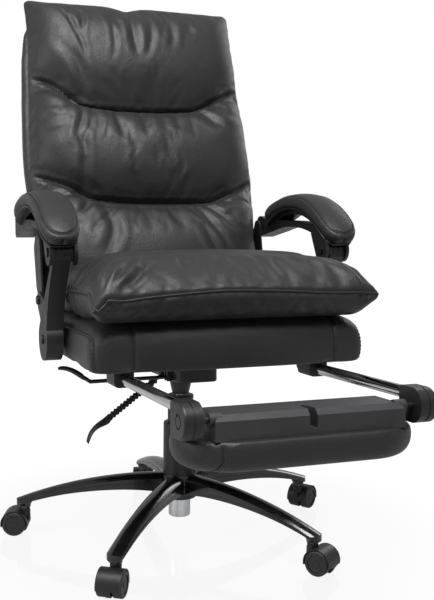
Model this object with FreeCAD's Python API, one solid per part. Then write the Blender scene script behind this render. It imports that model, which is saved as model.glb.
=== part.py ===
import FreeCAD, Part
import math
import os

V = FreeCAD.Vector

# Reclining office chair with a pull-out footrest, in millimetres.
# The origin is on the floor, on the swivel axis. The sitter faces -Y, and +X is the sitter's left.
# Everything above the column is drawn level and then leaned back by seat_tilt about the column's head.

seat_tilt = 2.75
tilt_centre = V(0, 0, 330)

# Five-star base and casters
leg_count = 5
leg_phase = 158.7
stem_circle = 330.0
leg_stations = [
    # radius, half width, underside, shoulder, crest
    (26, 21.0, 97, 128, 139.0),
    (110, 19.0, 103, 124, 134.0),
    (190, 18.0, 98, 113, 122.0),
    (265, 17.5, 86, 95, 104.0),
    (330, 17.0, 68, 74, 82.5),
    (352, 16.5, 60, 66, 74.0),
]
seam_lip = 1.3
hub_radius = 37.0
hub_bottom = 86.0
hub_top = 139.0
stem_radius = 5.5
running_gap = 0.05
wheel_radius = 25.0
wheel_width = 19.0
wheel_inner_face = 5.6
axle_radius = 3.0
caster_trail = 20.0
caster_trails_deg = [160.0, -124.0, -55.0, 35.0, 75.0]
caster_stem_top = 80.0
boss_bottom = 58.5

# Gas column and its telescopic cover
tube_bottom = 46.0
tube_top = 235.0
piston_radius = 14.0
piston_bottom = 108.0
piston_top = 346.0
taper_start = 300.0
taper_radius = 13.0
cover_lower_radius = 35.3
cover_lower_top = 248.0
cover_upper_radius = 26.6
cover_upper_top = 306.0
cover_upper_bottom = 192.0

# Seat
seat_half_width = 255.5
seat_front = -312.0
seat_rear = 120.0
seat_bottom = 398.0
seat_mid = 486.0
seat_bulge_half = 267.0
seat_waist = -104.0
seat_front_crown = 9.0
board_thickness = 12.0

# Side pivots, as Y and Z in the level drawing
recline_pivot = (164.0, 502.0)
arm_rear_pivot = (191.4, 659.6)
upright_pivot = (-50.0, 438.0)
arm_front_pivot = (-145.5, 608.0)

# Back
back_lean = 15.75
back_top = 694.0
shell_top = 655.0
back_front = -72.0
back_split = 21.5
back_rear = 80.0
flank_inset = 34.0
shoulder_inset = 88.0

# Footrest
rail_x = 193.5
rail_z = 381.0
rail_radius = 10.5
rail_front = -598.0
rail_end = -190.0
flip_pivot = (-610.0, 366.5)
pad_half_width = 201.5
pad_front = -640.0
pad_depth = 180.0


def level_edges(shape, z):
    """Edges that lie flat at one height, for a fillet or a chamfer."""
    return [e for e in shape.Edges if e.BoundBox.ZLength < 0.01 and abs(e.BoundBox.ZMin - z) < 0.01]


def side_edges(shape, x):
    """Edges that lie in one X plane."""
    return [e for e in shape.Edges if e.BoundBox.XLength < 0.01 and abs(e.BoundBox.XMin - x) < 0.01]


def level_to_world(shape):
    turned = shape.copy()
    turned.rotate(tilt_centre, V(-1, 0, 0), seat_tilt)
    return turned


def save(name, shape, leaned=True):
    solid = level_to_world(shape) if leaned else shape
    if not solid.isValid():
        print("NOT VALID", name)
    solid.exportStep("parts/" + name + ".step")


def save_pair(name, shape, leaned=True):
    save(name + "_left", shape, leaned)
    save(name + "_right", mirrored(shape), leaned)


def mirrored(shape):
    return shape.mirror(V(0, 0, 0), V(1, 0, 0))


def box(x0, x1, y0, y1, z0, z1):
    return Part.makeBox(x1 - x0, y1 - y0, z1 - z0, V(x0, y0, z0))


def rod(start, end, radius):
    along = V(*end) - V(*start)
    return Part.makeCylinder(radius, along.Length, V(*start), along)


def cone(start, end, radius_start, radius_end):
    along = V(*end) - V(*start)
    return Part.makeCone(radius_start, radius_end, along.Length, V(*start), along)


def outline(start, steps, place):
    """Closed wire from lines (one point) and arcs (middle and end point), placed by a function."""
    edges = []
    here = start
    for step in steps:
        if len(step) == 1:
            edges.append(Part.LineSegment(place(*here), place(*step[0])).toShape())
        else:
            edges.append(Part.Arc(place(*here), place(*step[0]), place(*step[1])).toShape())
        here = step[-1]
    return Part.Wire(edges)


def side_plate(x0, x1, start, steps):
    """Solid with an outline in Y and Z, between two X planes."""
    wire = outline(start, steps, lambda y, z: V(x0, y, z))
    return Part.Face(wire).extrude(V(x1 - x0, 0, 0))


def link_bar(x0, x1, first, second, radius_first, radius_second):
    """Flat bar between two round ends, by tangents to both circles."""
    dy = second[0] - first[0]
    dz = second[1] - first[1]
    length = math.hypot(dy, dz)
    base = math.atan2(dz, dy)
    spread = math.acos((radius_first - radius_second) / length)

    def on(centre, radius, angle):
        return (centre[0] + radius * math.cos(angle), centre[1] + radius * math.sin(angle))

    start = on(first, radius_first, base + spread)
    steps = [
        (on(first, radius_first, base + math.pi), on(first, radius_first, base - spread)),
        (on(second, radius_second, base - spread),),
        (on(second, radius_second, base), on(second, radius_second, base + spread)),
        (start,),
    ]
    return side_plate(x0, x1, start, steps)


def back_point(s, t):
    """Y and Z of a point s up along the back and t behind its hinge line."""
    lean = math.radians(back_lean)
    y = recline_pivot[0] + s * math.sin(lean) + t * math.cos(lean)
    z = recline_pivot[1] + s * math.cos(lean) - t * math.sin(lean)
    return (y, z)


def back_place(x, s, t):
    y, z = back_point(s, t)
    return V(x, y, z)


# Base

def leg_section(radius, half, low, shoulder, crest):
    def place(across, up):
        return V(radius, across, up)

    return outline(
        (-half, low),
        [((half, low),), ((half, shoulder),), ((0, crest), (-half, shoulder)), ((-half, low),)],
        place,
    )


def lip_section(radius, half, low, shoulder, crest):
    middle = low + 0.55 * (shoulder - low)
    reach = half + seam_lip
    points = [(-reach, middle - 1), (reach, middle - 1), (reach, middle + 1), (-reach, middle + 1)]
    corners = [V(radius, a, b) for a, b in points]
    return Part.makePolygon(corners + corners[:1])


def star_leg():
    body = Part.makeLoft([leg_section(*row) for row in leg_stations], True, False)
    lip = Part.makeLoft([lip_section(*row) for row in leg_stations[:-1]], True, False)
    tip_radius = leg_stations[-2][1]
    keep = box(0, stem_circle, -40, 40, 40, 160)
    keep = keep.fuse(rod((stem_circle, 0, 40), (stem_circle, 0, 160), tip_radius))
    boss = rod((stem_circle, 0, boss_bottom), (stem_circle, 0, 74), 12.5)
    boss = boss.fuse(cone((stem_circle, 0, 62), (stem_circle, 0, 70), 12.5, tip_radius - 0.5))
    leg = body.common(keep).fuse(lip).fuse(boss)
    socket_top = caster_stem_top + 0.3
    socket = rod((stem_circle, 0, boss_bottom - 5), (stem_circle, 0, socket_top), stem_radius + running_gap)
    return leg.cut(socket)


def star_base():
    hub = rod((0, 0, hub_bottom), (0, 0, hub_top), hub_radius)
    hub = hub.makeFillet(5, level_edges(hub, hub_bottom))
    shape = hub
    for k in range(leg_count):
        leg = star_leg()
        leg.rotate(V(0, 0, 0), V(0, 0, 1), leg_phase + 72 * k)
        shape = shape.fuse(leg)
    shape = shape.cut(tube_taper())
    return shape.removeSplitter()


def tube_taper():
    return cone((0, 0, hub_bottom - 1), (0, 0, hub_top + 1), 22.97, 24.03)


def gas_cylinder():
    low = rod((0, 0, tube_bottom), (0, 0, hub_bottom - 1), 22.97)
    low = low.makeChamfer(2, level_edges(low, tube_bottom))
    high = rod((0, 0, hub_top + 1), (0, 0, tube_top), 24.03)
    tube = low.fuse(tube_taper()).fuse(high)
    bore = rod((0, 0, tube_bottom + 6), (0, 0, tube_top + 1), piston_radius + running_gap)
    return tube.cut(bore)


def gas_piston():
    shaft = rod((0, 0, piston_bottom), (0, 0, taper_start), piston_radius)
    return shaft.fuse(piston_taper(0))


def piston_taper(gap):
    return cone((0, 0, taper_start), (0, 0, piston_top), piston_radius + gap, taper_radius + gap)


def cover_lower():
    radius = cover_lower_radius
    shell = rod((0, 0, hub_top), (0, 0, cover_lower_top), radius)
    shell = shell.makeFillet(2.5, level_edges(shell, cover_lower_top))
    shell = shell.cut(rod((0, 0, hub_top - 1), (0, 0, cover_lower_top - 4), radius - 2))
    return shell.cut(rod((0, 0, hub_top), (0, 0, cover_lower_top + 1), cover_upper_radius + 0.4))


def cover_upper():
    radius = cover_upper_radius
    shell = rod((0, 0, cover_upper_bottom), (0, 0, cover_upper_top - 8), radius)
    collar = rod((0, 0, cover_upper_top - 8), (0, 0, cover_upper_top), radius + 1)
    collar = collar.makeFillet(1.5, level_edges(collar, cover_upper_top))
    shape = shell.fuse(collar)
    shape = shape.cut(rod((0, 0, cover_upper_bottom - 1), (0, 0, cover_upper_top - 4), radius - 1.9))
    return shape.cut(rod((0, 0, cover_upper_bottom - 1), (0, 0, cover_upper_top + 1), piston_radius + 0.3))


# Casters, drawn with the stem on the Z axis and the wheels trailing along +X

def axle_rod(y0, y1, radius):
    """Cylinder on the wheels' axis."""
    return rod((caster_trail, y0, wheel_radius), (caster_trail, y1, wheel_radius), radius)


def caster_wheels():
    """Two wheels with a rounded tread, a dished outer face and a hub cap."""
    pair = []
    for side in (1, -1):
        inner = side * wheel_inner_face
        outer = side * (wheel_inner_face + wheel_width)
        wheel = axle_rod(inner, outer, wheel_radius)
        wheel = wheel.makeFillet(3, [e for e in wheel.Edges if e.BoundBox.YLength < 0.01])
        dish = axle_rod(outer - side * 1.5, outer + side, 18)
        cap = axle_rod(outer - side * 3, outer - side * 0.6, 7)
        bore = axle_rod(inner - side, outer - side * 5, axle_radius + running_gap)
        pair.append(wheel.cut(dish).fuse(cap).cut(bore))
    return Part.makeCompound(pair)


def caster_hood():
    """Web between the wheels with a guard over both treads and a turret for the stem."""
    half = wheel_inner_face - 0.5
    guard_inner = wheel_radius + 1.2
    guard_outer = wheel_radius + 3.4
    reach = wheel_inner_face + wheel_width - 1.0
    turret_top = boss_bottom - 2.5
    web = axle_rod(-half, half, guard_outer).cut(box(-60, 60, -20, 20, -10, 6))
    inside = axle_rod(-40, 40, guard_inner)
    guard = axle_rod(-reach, reach, guard_outer).cut(inside)
    guard = guard.cut(box(-60, 60, -40, 40, -10, wheel_radius - 6))
    turret = rod((0, 0, 40), (0, 0, turret_top), 11)
    turret = turret.makeFillet(1.5, level_edges(turret, turret_top)).cut(inside)
    neck = box(-11, 4, -half, half, 30, 50)
    shape = web.fuse(guard).fuse(turret).fuse(neck)
    shape = shape.cut(rod((0, 0, 34), (0, 0, 70), stem_radius))
    return shape.cut(axle_rod(-20, 20, axle_radius))


def caster_pins():
    """The stem with its collar, and the axle."""
    stem = rod((0, 0, 34), (0, 0, caster_stem_top), stem_radius)
    stem = stem.makeChamfer(1.2, level_edges(stem, caster_stem_top))
    collar = rod((0, 0, boss_bottom - 2.5), (0, 0, boss_bottom - 0.6), 8)
    tip = wheel_inner_face + wheel_width - 6
    return Part.makeCompound([stem.fuse(collar), axle_rod(-tip, tip, axle_radius)])


def save_casters():
    makers = {"caster_wheels": caster_wheels, "caster_hood": caster_hood, "caster_pins": caster_pins}
    for k in range(leg_count):
        angle = math.radians(leg_phase + 72 * k)
        spot = V(stem_circle * math.cos(angle), stem_circle * math.sin(angle), 0)
        for name, make in makers.items():
            shape = make()
            shape.rotate(V(0, 0, 0), V(0, 0, 1), caster_trails_deg[k])
            shape.translate(spot)
            save(name + "_" + str(k + 1), shape, leaned=False)


# Mechanism under the seat

housing_half = 43.0
housing_front = -112.0
housing_rear = 92.0
housing_bottom = 345.0
housing_corner = 14.0
lever_root_x = -47.5
plate_bottom = 388.0
height_lever_y = -60.0
height_lever_z = 353.0
recline_lever_y = -20.0
recline_lever_root = (lever_root_x, 353.0)
recline_lever_tip = (-206.0, 237.0)


def vertical_edges(shape):
    def stands(size):
        return size.ZLength > 5 and size.XLength < 0.1 and size.YLength < 0.1

    return [e for e in shape.Edges if stands(e.BoundBox)]


def mech_housing():
    """Pressed pan with a welded post for the column, and two forked ears for the levers."""
    wall = 2.5
    pan = box(-housing_half, housing_half, housing_front, housing_rear, housing_bottom, plate_bottom)
    pan = pan.makeFillet(housing_corner, vertical_edges(pan))
    pan = pan.makeFillet(4, level_edges(pan, housing_bottom))
    room = box(
        -housing_half + wall,
        housing_half - wall,
        housing_front + wall,
        housing_rear - wall,
        housing_bottom + wall,
        plate_bottom + 1,
    )
    room = room.makeFillet(housing_corner - wall, vertical_edges(room))
    pan = pan.cut(room)
    levers = ((height_lever_y, height_lever_z), (recline_lever_y, recline_lever_root[1]))
    outside = -housing_half - 9
    for y, z in levers:
        pan = pan.fuse(box(outside, -housing_half + 1, y - 9, y + 9, z - 8, plate_bottom))
    socket_post = rod((0, 0, housing_bottom), (0, 0, housing_bottom + 30), 24)
    pan = level_to_world(pan.fuse(socket_post))
    neck = cone((0, 0, 309), (0, 0, 334), 17.5, 23)
    neck = neck.fuse(rod((0, 0, 334), (0, 0, 350), 23))
    pan = pan.fuse(neck)
    pan = pan.cut(piston_taper(running_gap))
    for y, z in levers:
        hole = rod((lever_root_x, y - 12, z), (lever_root_x, y + 12, z), 3.0)
        fork = box(outside - 3, -housing_half + 3, y - 5.3, y + 5.3, z - 12, z + 12)
        pan = pan.cut(level_to_world(hole)).cut(level_to_world(fork))
    return pan


def mech_plate():
    """Pressed top plate that the seat board is bolted to, with a turned-down rim."""
    plate = box(-88, 88, -128, 112, plate_bottom, seat_bottom)
    plate = plate.makeFillet(16, vertical_edges(plate))
    inner = box(-80, 80, -120, 104, plate_bottom - 1, seat_bottom - 3)
    inner = inner.makeFillet(10, vertical_edges(inner))
    top = seat_bottom - 3
    half = housing_half
    ring = box(-half, half, housing_front, housing_rear, plate_bottom, top)
    ring = ring.makeFillet(housing_corner, vertical_edges(ring))
    hollow = box(-half + 3, half - 3, housing_front + 3, housing_rear - 3, plate_bottom - 1, top)
    return plate.cut(inner).fuse(ring.cut(hollow))


def plate_bolts():
    bolts = []
    for x in (-66, 66):
        for y in (-100, 86):
            head = rod((x, y, seat_bottom - 9), (x, y, seat_bottom - 3), 6.5)
            bolts.append(head)
    return Part.makeCompound(bolts)


def height_lever():
    y = height_lever_y
    root = (lever_root_x, y, height_lever_z)
    knee = (-208, y, height_lever_z - 1)
    end = (-240, y, 374)
    eye = rod((root[0], y - 5, root[2]), (root[0], y + 5, root[2]), 6)
    trunnion = rod((root[0], y - 9, root[2]), (root[0], y + 9, root[2]), 2.95)
    shaft = rod(root, knee, 4).fuse(Part.makeSphere(4, V(*knee))).fuse(rod(knee, end, 4))
    return shaft.fuse(eye).fuse(trunnion)


def flat_section(x, y, z, half_y, half_z):
    def place(across, up):
        return V(x, y + across, z + up)

    return outline(
        (-half_y, 0),
        [((0, half_z), (half_y, 0)), ((0, -half_z), (-half_y, 0))],
        place,
    )


def height_grip():
    rows = [
        (-222, 361.5, 6.5, 6.0),
        (-235, 370.5, 8.0, 6.3),
        (-249, 378.0, 11.5, 5.2),
        (-262, 381.5, 12.0, 4.2),
        (-271, 381.0, 8.0, 3.0),
    ]
    wires = [flat_section(x, height_lever_y, z, a, b) for x, z, a, b in rows]
    grip = Part.makeLoft(wires, True, False)
    return grip.cut(height_lever())


def recline_axis(distance):
    """Point on the recline lever's line, by its distance from the pivot."""
    dx = recline_lever_tip[0] - recline_lever_root[0]
    dz = recline_lever_tip[1] - recline_lever_root[1]
    length = math.hypot(dx, dz)
    return V(
        recline_lever_root[0] + dx * distance / length,
        recline_lever_y,
        recline_lever_root[1] + dz * distance / length,
    )


def recline_lever():
    y = recline_lever_y
    x, z = recline_lever_root
    shaft = rod((x, y, z), tuple(recline_axis(152)), 3.5)
    eye = rod((x, y - 5, z), (x, y + 5, z), 6)
    trunnion = rod((x, y - 9, z), (x, y + 9, z), 2.95)
    return shaft.fuse(eye).fuse(trunnion)


rib_count = 15
rib_pitch = 8.4
sleeve_start = 17.0


def recline_sleeve():
    """Ribbed sleeve as a ruled loft through four circles for each rib."""
    direction = recline_axis(1) - recline_axis(0)
    wires = []
    for k in range(rib_count):
        for share, radius in ((0.0, 5.4), (0.2, 7.4), (0.55, 7.4), (0.75, 5.4)):
            centre = recline_axis(sleeve_start + rib_pitch * (k + share))
            wires.append(Part.Wire([Part.makeCircle(radius, centre, direction)]))
    sleeve = Part.makeLoft(wires, True, True)
    return sleeve.cut(recline_lever())


def tapered_section(centre, direction, across, half_across, half_thick):
    normal = direction.cross(across)

    def place(a, b):
        return centre + across * a + normal * b

    return outline(
        (-half_across, 0),
        [((0, half_thick), (half_across, 0)), ((0, -half_thick), (-half_across, 0))],
        place,
    )


def recline_grip():
    direction = recline_axis(1) - recline_axis(0)
    across = V(0, 1, 0)
    start = sleeve_start + rib_pitch * (rib_count - 0.25)
    rows = [
        (0, 0, 8.5, 7.0),
        (16, 0, 8.5, 7.0),
        (30, -2, 9.0, 5.2),
        (44, 0, 9.5, 4.4),
        (56, 6, 9.0, 4.2),
        (64, 12, 6.5, 3.4),
    ]
    side = direction.cross(across)
    wires = []
    for along, offset, a, b in rows:
        centre = recline_axis(start + along) + side * offset
        wires.append(tapered_section(centre, direction, across, a, b))
    grip = Part.makeLoft(wires, True, False)
    return grip.cut(recline_lever())


# Seat

def seat_board():
    board = box(-236, 236, -296, 106, seat_bottom, seat_bottom + board_thickness)
    return board.makeFillet(40, vertical_edges(board))


def seat_outline(z, inset, corner):
    """Plan of the seat at one height: full in front of the armrests' feet and crowned along the front."""
    front = seat_front + inset
    rear = seat_rear - inset
    wide = seat_bulge_half - inset
    half = seat_half_width - inset
    r = corner
    d = r * (1 - math.sqrt(0.5))
    right = [
        ((wide - d, front + d), (wide, front + r)),
        ((half, seat_waist),),
        ((half, rear - r),),
        ((half - d, rear - d), (half - r, rear)),
    ]
    left = [
        ((-half + r, rear),),
        ((-half + d, rear - d), (-half, rear - r)),
        ((-half, seat_waist),),
        ((-wide, front + r),),
        ((-wide + d, front + d), (-wide + r, front)),
    ]
    brow = [((0, front - seat_front_crown), (wide - r, front))]
    return outline((-wide + r, front), brow + right + left, lambda x, y: V(x, y, z))


def cushion_lower():
    """Boxy upholstered seat: sides drawn in a little, a crowned front and a rounded top edge."""
    rows = [
        # height, inset, corner radius
        (seat_bottom, 4.0, 26.0),
        (seat_bottom + 16, 0.5, 28.0),
        (seat_bottom + 44, 0.0, 30.0),
        (seat_bottom + 64, 4.0, 34.0),
        (seat_bottom + 79, 15.0, 38.0),
        (seat_mid, 34.0, 42.0),
    ]
    body = Part.makeLoft([seat_outline(*row) for row in rows], True, False)
    return body.cut(seat_board())


def pillow_section(y, half, low, seam, crest):
    """Cross-section of the loose seat cushion at one Y: two full flanks that meet at the piping."""
    def place(x, z):
        return V(x, y, z)

    foot = half - 26
    shoulder = half - 62
    droop = 0.1 * (crest - seam)
    rise = crest - droop - seam
    return outline(
        (-foot, low),
        [
            ((foot, low),),
            ((half - 6, low + 0.4 * (seam - low)), (half, seam)),
            ((half - 17, seam + 0.66 * rise), (shoulder, crest - droop)),
            ((0, crest), (-shoulder, crest - droop)),
            ((-half + 17, seam + 0.66 * rise), (-half, seam)),
            ((-half + 6, low + 0.4 * (seam - low)), (-foot, low)),
        ],
        place,
    )


def cushion_top():
    low = seat_mid + 1
    rows = [
        # y, half width, underside, seam, crest
        (-346, 266, 530, 536, 543),
        (-337, 268, 509, 536, 564),
        (-316, 268, 492, 536, 582),
        (-270, 265, low, 537, 593),
        (-190, 262, low, 538, 598),
        (-80, 261.5, low, 540, 598),
        (20, 261, low, 541, 595),
        (66, 257, low + 3, 541, 588),
        (88, 247, 500, 541, 572),
    ]
    pillow = Part.makeLoft([pillow_section(*row) for row in rows], True, False)
    return pillow.cut(cushion_lower())


def rail_guide():
    block = box(175, 212, -256, -202, rail_z - 15, seat_bottom)
    long_low = [e for e in level_edges(block, rail_z - 15) if e.BoundBox.YLength > 20]
    block = block.makeFillet(9, long_low)
    return block.cut(rod((rail_x, -270, rail_z), (rail_x, -190, rail_z), rail_radius + 0.1))


side_link_inner = 261.0
side_link_outer = 265.0
pivot_bolt_radius = 6.0


def side_link():
    """Steel plate on the side of the seat: it carries the armrest's foot and the back's hinge."""
    x0 = side_link_inner
    x1 = side_link_outer
    low_front = (24.0, 424.0)
    low_rear = (92.0, 424.0)
    plate = link_bar(x0, x1, recline_pivot, upright_pivot, 18.5, 18)
    plate = plate.fuse(link_bar(x0, x1, upright_pivot, low_front, 17.5, 14))
    plate = plate.fuse(link_bar(x0, x1, recline_pivot, low_rear, 18, 14))
    plate = plate.fuse(box(x0, x1, low_front[0], low_rear[0], low_rear[1] - 14, low_rear[1] + 14))
    for y, z in (low_front, low_rear):
        plate = plate.fuse(rod((seat_half_width - 0.5, y, z), (x0, y, z), 9))
        plate = plate.fuse(rod((x1, y, z), (x1 + 3, y, z), 6))
    for y, z in (upright_pivot, recline_pivot):
        plate = plate.cut(rod((250, y, z), (280, y, z), pivot_bolt_radius))
    return plate.removeSplitter()


def hinge_bolts():
    """The four pivot bolts that the side links carry."""
    y, z = recline_pivot
    back_bolt = rod((256.6, y, z), (266, y, z), pivot_bolt_radius)
    head = rod((265, y, z), (270, y, z), 10)
    head = head.makeFillet(2.4, side_edges(head, 270))
    back_bolt = back_bolt.fuse(head)
    y, z = upright_pivot
    face = upright_outer + side_gap
    foot_bolt = rod((side_link_inner, y, z), (face + 1, y, z), pivot_bolt_radius)
    head = rod((face, y, z), (face + 3.6, y, z), 9)
    head = head.makeFillet(1.8, side_edges(head, face + 3.6))
    foot_bolt = foot_bolt.fuse(head)
    return Part.makeCompound([back_bolt, foot_bolt, mirrored(back_bolt), mirrored(foot_bolt)])


# Footrest

def footrest_rail():
    return rod((rail_x, rail_front, rail_z), (rail_x, rail_end, rail_z), rail_radius)


def rail_stops():
    stops = []
    for x in (-rail_x, rail_x):
        stop = rod((x, rail_end, rail_z), (x, rail_end + 8, rail_z), rail_radius + 2)
        rear = [e for e in stop.Edges if abs(e.BoundBox.YMin - rail_end - 8) < 0.01]
        stops.append(stop.makeFillet(2, rear))
    return Part.makeCompound(stops)


bracket_inner = 181.0
bracket_outer = 212.0
bracket_round = 28.5
bracket_rear = -571.0


def footrest_bracket():
    y, z = flip_pivot
    r = bracket_round
    body = side_plate(
        bracket_inner,
        bracket_outer,
        (y, z + r),
        [((y - r, z), (y, z - r)), ((bracket_rear, z - r),), ((bracket_rear, z + r),), ((y, z + r),)],
    )
    rear = [e for e in body.Edges if e.BoundBox.XLength > 20 and abs(e.BoundBox.YMax - bracket_rear) < 0.01]
    body = body.makeFillet(8, rear)
    body = body.makeFillet(4, side_edges(body, bracket_outer))
    groove = rod((bracket_outer - 17, y, z), (bracket_outer - 14, y, z), r + 4)
    groove = groove.cut(rod((bracket_outer - 18, y, z), (bracket_outer - 13, y, z), r - 1.2))
    groove = groove.cut(box(150, 250, y, y + 60, z - 60, z + 60))
    body = body.cut(groove)
    mark = rod((bracket_outer - 1.6, y, z), (bracket_outer + 1, y, z), 12)
    mark = mark.cut(rod((bracket_outer - 2, y, z), (bracket_outer + 1, y, z), 9))
    body = body.cut(mark)
    body = body.cut(rod((rail_x, rail_front, rail_z), (rail_x, rail_front + 60, rail_z), rail_radius))
    return body.cut(rod((bracket_inner - 5, y, z), (bracket_outer - 6, y, z), 5.05))


def footrest_pins():
    y, z = flip_pivot
    pin = rod((146, y, z), (bracket_outer - 7, y, z), 5)
    return Part.makeCompound([pin, mirrored(pin)])


tray_half = 160.0
tray_bottom = 335.0
tray_top = 374.0
tray_front = -626.0
tray_chamfer = 9.0


def footrest_tray():
    """Moulded tray that backs the pad: chamfered rim, rear slope and a pull notch in the front."""
    base = side_plate(
        -tray_half,
        tray_half,
        (tray_front, tray_bottom),
        [
            ((tray_front, tray_top - tray_chamfer),),
            ((tray_front + tray_chamfer, tray_top),),
            ((-545, tray_top),),
            ((-482, tray_bottom + 12),),
            ((-474, tray_bottom),),
            ((tray_front, tray_bottom),),
        ],
    )
    for side in (1, -1):
        wedge = Part.makePolygon([
            V(side * (tray_half - tray_chamfer), -700, tray_top + 0.01),
            V(side * (tray_half + 1), -700, tray_top + 0.01),
            V(side * (tray_half + 1), -700, tray_top - tray_chamfer),
            V(side * tray_half, -700, tray_top - tray_chamfer),
            V(side * (tray_half - tray_chamfer), -700, tray_top + 0.01),
        ])
        base = base.cut(Part.Face(wedge).extrude(V(0, 260, 0)))
    notch = box(-6.5, 6.5, -650, -592, tray_bottom + 10, tray_top + 5)
    notch = notch.fuse(rod((0, -592, tray_bottom + 10), (0, -592, tray_top + 5), 6.5))
    base = base.cut(notch)
    y, z = flip_pivot
    for side in (1, -1):
        boss = rod((side * 146, y, z), (side * (tray_half + 6), y, z), 11)
        base = base.fuse(boss)
        base = base.cut(rod((side * 146, y, z), (side * (tray_half + 8), y, z), 5))
    hollow = box(-148, 148, -616, -556, tray_bottom - 1, tray_bottom + 22)
    hollow = hollow.cut(box(-12, 12, -700, -500, 300, 400))
    return base.cut(hollow)


def pad_section(z, inset):
    """Plan of the footrest pad at one height: straight front and rear with round ends."""
    r = pad_depth / 2 - inset
    straight = pad_half_width - pad_depth / 2
    middle = pad_front + pad_depth / 2
    steps = [
        ((straight, middle - r),),
        ((straight + r * math.sqrt(0.5), middle - r * math.sqrt(0.5)), (straight + r, middle)),
        ((straight + r * math.sqrt(0.5), middle + r * math.sqrt(0.5)), (straight, middle + r)),
        ((-straight, middle + r),),
        ((-straight - r * math.sqrt(0.5), middle + r * math.sqrt(0.5)), (-straight - r, middle)),
        ((-straight - r * math.sqrt(0.5), middle - r * math.sqrt(0.5)), (-straight, middle - r)),
    ]
    return outline((-straight, middle - r), steps, lambda x, y: V(x, y, z))


def footrest_pad():
    rows = [
        # height below the tray, inset
        (0, 3.0),
        (10, 0.0),
        (26, 0.5),
        (40, 7.0),
        (49, 22.0),
        (53, 48.0),
    ]
    return Part.makeLoft([pad_section(tray_bottom - drop, inset) for drop, inset in rows], True, False)


# Back

def back_board():
    """Board with wide ears at the hinge, where the side brackets are screwed on."""
    upper = back_slab(226, 20, 620, back_split + 0.5, back_split + 12.5)
    lower = back_slab(256.5, -34, 170, back_split + 0.5, back_split + 12.5)
    return upper.fuse(lower).removeSplitter()


def back_slab(half, s0, s1, t0, t1):
    corners = [(-half, s0), (half, s0), (half, s1), (-half, s1)]
    points = [back_place(x, s, t0) for x, s in corners]
    face = Part.Face(Part.makePolygon(points + points[:1]))
    return face.extrude(back_place(0, 0, t1) - back_place(0, 0, t0))


def back_section(s, half, crown, shoulder, flank, border):
    """Cross-section of the front upholstery: flat back, upright border, and its depth at three places."""
    def place(x, t):
        return back_place(x, s, t)

    inner = half - 6
    edge = half - 3
    flank_x = half - flank_inset
    shoulder_x = half - shoulder_inset
    return outline(
        (-inner, back_split),
        [
            ((inner, back_split),),
            ((half, (back_split + border) / 2), (edge, border)),
            ((flank_x, flank), (shoulder_x, shoulder)),
            ((0, crown), (-shoulder_x, shoulder)),
            ((-flank_x, flank), (-edge, border)),
            ((-half, (back_split + border) / 2), (-inner, back_split)),
        ],
        place,
    )


def back_cushion():
    """Three sewn puffs over the lumbar, shoulders and head. The channels between them rise to the borders."""
    rows = [
        # s, half width, depth at the crown, the shoulders, the flanks and the border
        (2, 246, -40, -36, -24, 4),
        (22, 252, -60, -54, -36, 2),
        (75, 255, back_front, -65, -45, 0),
        (140, 255.4, -70, -64, -45, 0),
        (175, 257, -58, -60, -45, 0),
        (198, 259, -43, -51, -43, 0),
        (213, 260, -36, -43, -38, 1),
        (232, 261.5, -45, -36, -30, 1),
        (255, 263.5, -59, -45, -21, 2),
        (276, 265, -67, -56, -24, 2),
        (300, 264, -70, -62, -35, 1),
        (340, 261, back_front, -65, -44, 0),
        (385, 259, -69, -63, -45, 0),
        (412, 257.5, -56, -58, -44, 0),
        (436, 256, -37, -47, -39, 1),
        (456, 255, -47, -35, -31, 1),
        (480, 254, -60, -44, -20, 2),
        (503, 253, -67, -55, -23, 2),
        (530, 252, -70, -62, -36, 1),
        (600, 250, -70, -63, -43, 0),
        (650, 249, -62, -56, -38, 0),
        (678, 247, -42, -38, -26, 4),
        (back_top, 240, -12, -10, -6, 8),
    ]
    return Part.makeLoft([back_section(*row) for row in rows], True, False)


def shell_section(s, half, rear):
    """Cross-section of the rear upholstery: flat towards the board, square sides and a soft crown."""
    def place(x, t):
        return back_place(x, s, t)

    front = back_split + 0.5
    shoulder = front + 0.5 * (rear - front)
    edge = front + 0.86 * (rear - front)
    return outline(
        (half - 2, front),
        [
            ((-half + 2, front),),
            ((-half, (front + shoulder) / 2), (-half, shoulder)),
            ((-half + 6, shoulder + 0.7 * (edge - shoulder)), (-half + 24, edge)),
            ((0, rear), (half - 24, edge)),
            ((half - 6, shoulder + 0.7 * (edge - shoulder)), (half, shoulder)),
            ((half, (front + shoulder) / 2 - 0.01), (half - 2, front)),
        ],
        place,
    )


def back_shell():
    rows = [
        (-58, 226, 44),
        (-48, 242, 60),
        (-20, 253, 74),
        (60, 255.6, back_rear),
        (170, 255.8, back_rear),
        (280, 268, back_rear - 2),
        (420, 267, back_rear - 4),
        (540, 261, back_rear - 7),
        (615, 254, back_rear - 14),
        (645, 246, back_rear - 28),
        (shell_top, 236, back_rear - 42),
    ]
    body = Part.makeLoft([shell_section(*row) for row in rows], True, False)
    return body.cut(back_board())


def back_bracket():
    """Steel plate on each side of the back, from the recline pivot to the armrest's rear pivot."""
    x0 = 256.5
    x1 = 260.5
    plate = link_bar(x0, x1, recline_pivot, arm_rear_pivot, 17, 15)
    lobe_low = back_point(40, 22)
    lobe_high = back_point(120, 22)
    plate = plate.fuse(link_bar(x0, x1, lobe_low, lobe_high, 16, 15.5))
    plate = plate.fuse(link_bar(x0, x1, recline_pivot, lobe_low, 16.5, 15))
    plate = plate.fuse(link_bar(x0, x1, arm_rear_pivot, lobe_high, 14.5, 14))
    y, z = arm_rear_pivot
    pin = rod((x1 - 1, y, z), (284, y, z), 5)
    plate = plate.fuse(pin)
    y, z = recline_pivot
    return plate.cut(rod((250, y, z), (270, y, z), pivot_bolt_radius + running_gap)).removeSplitter()


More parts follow.
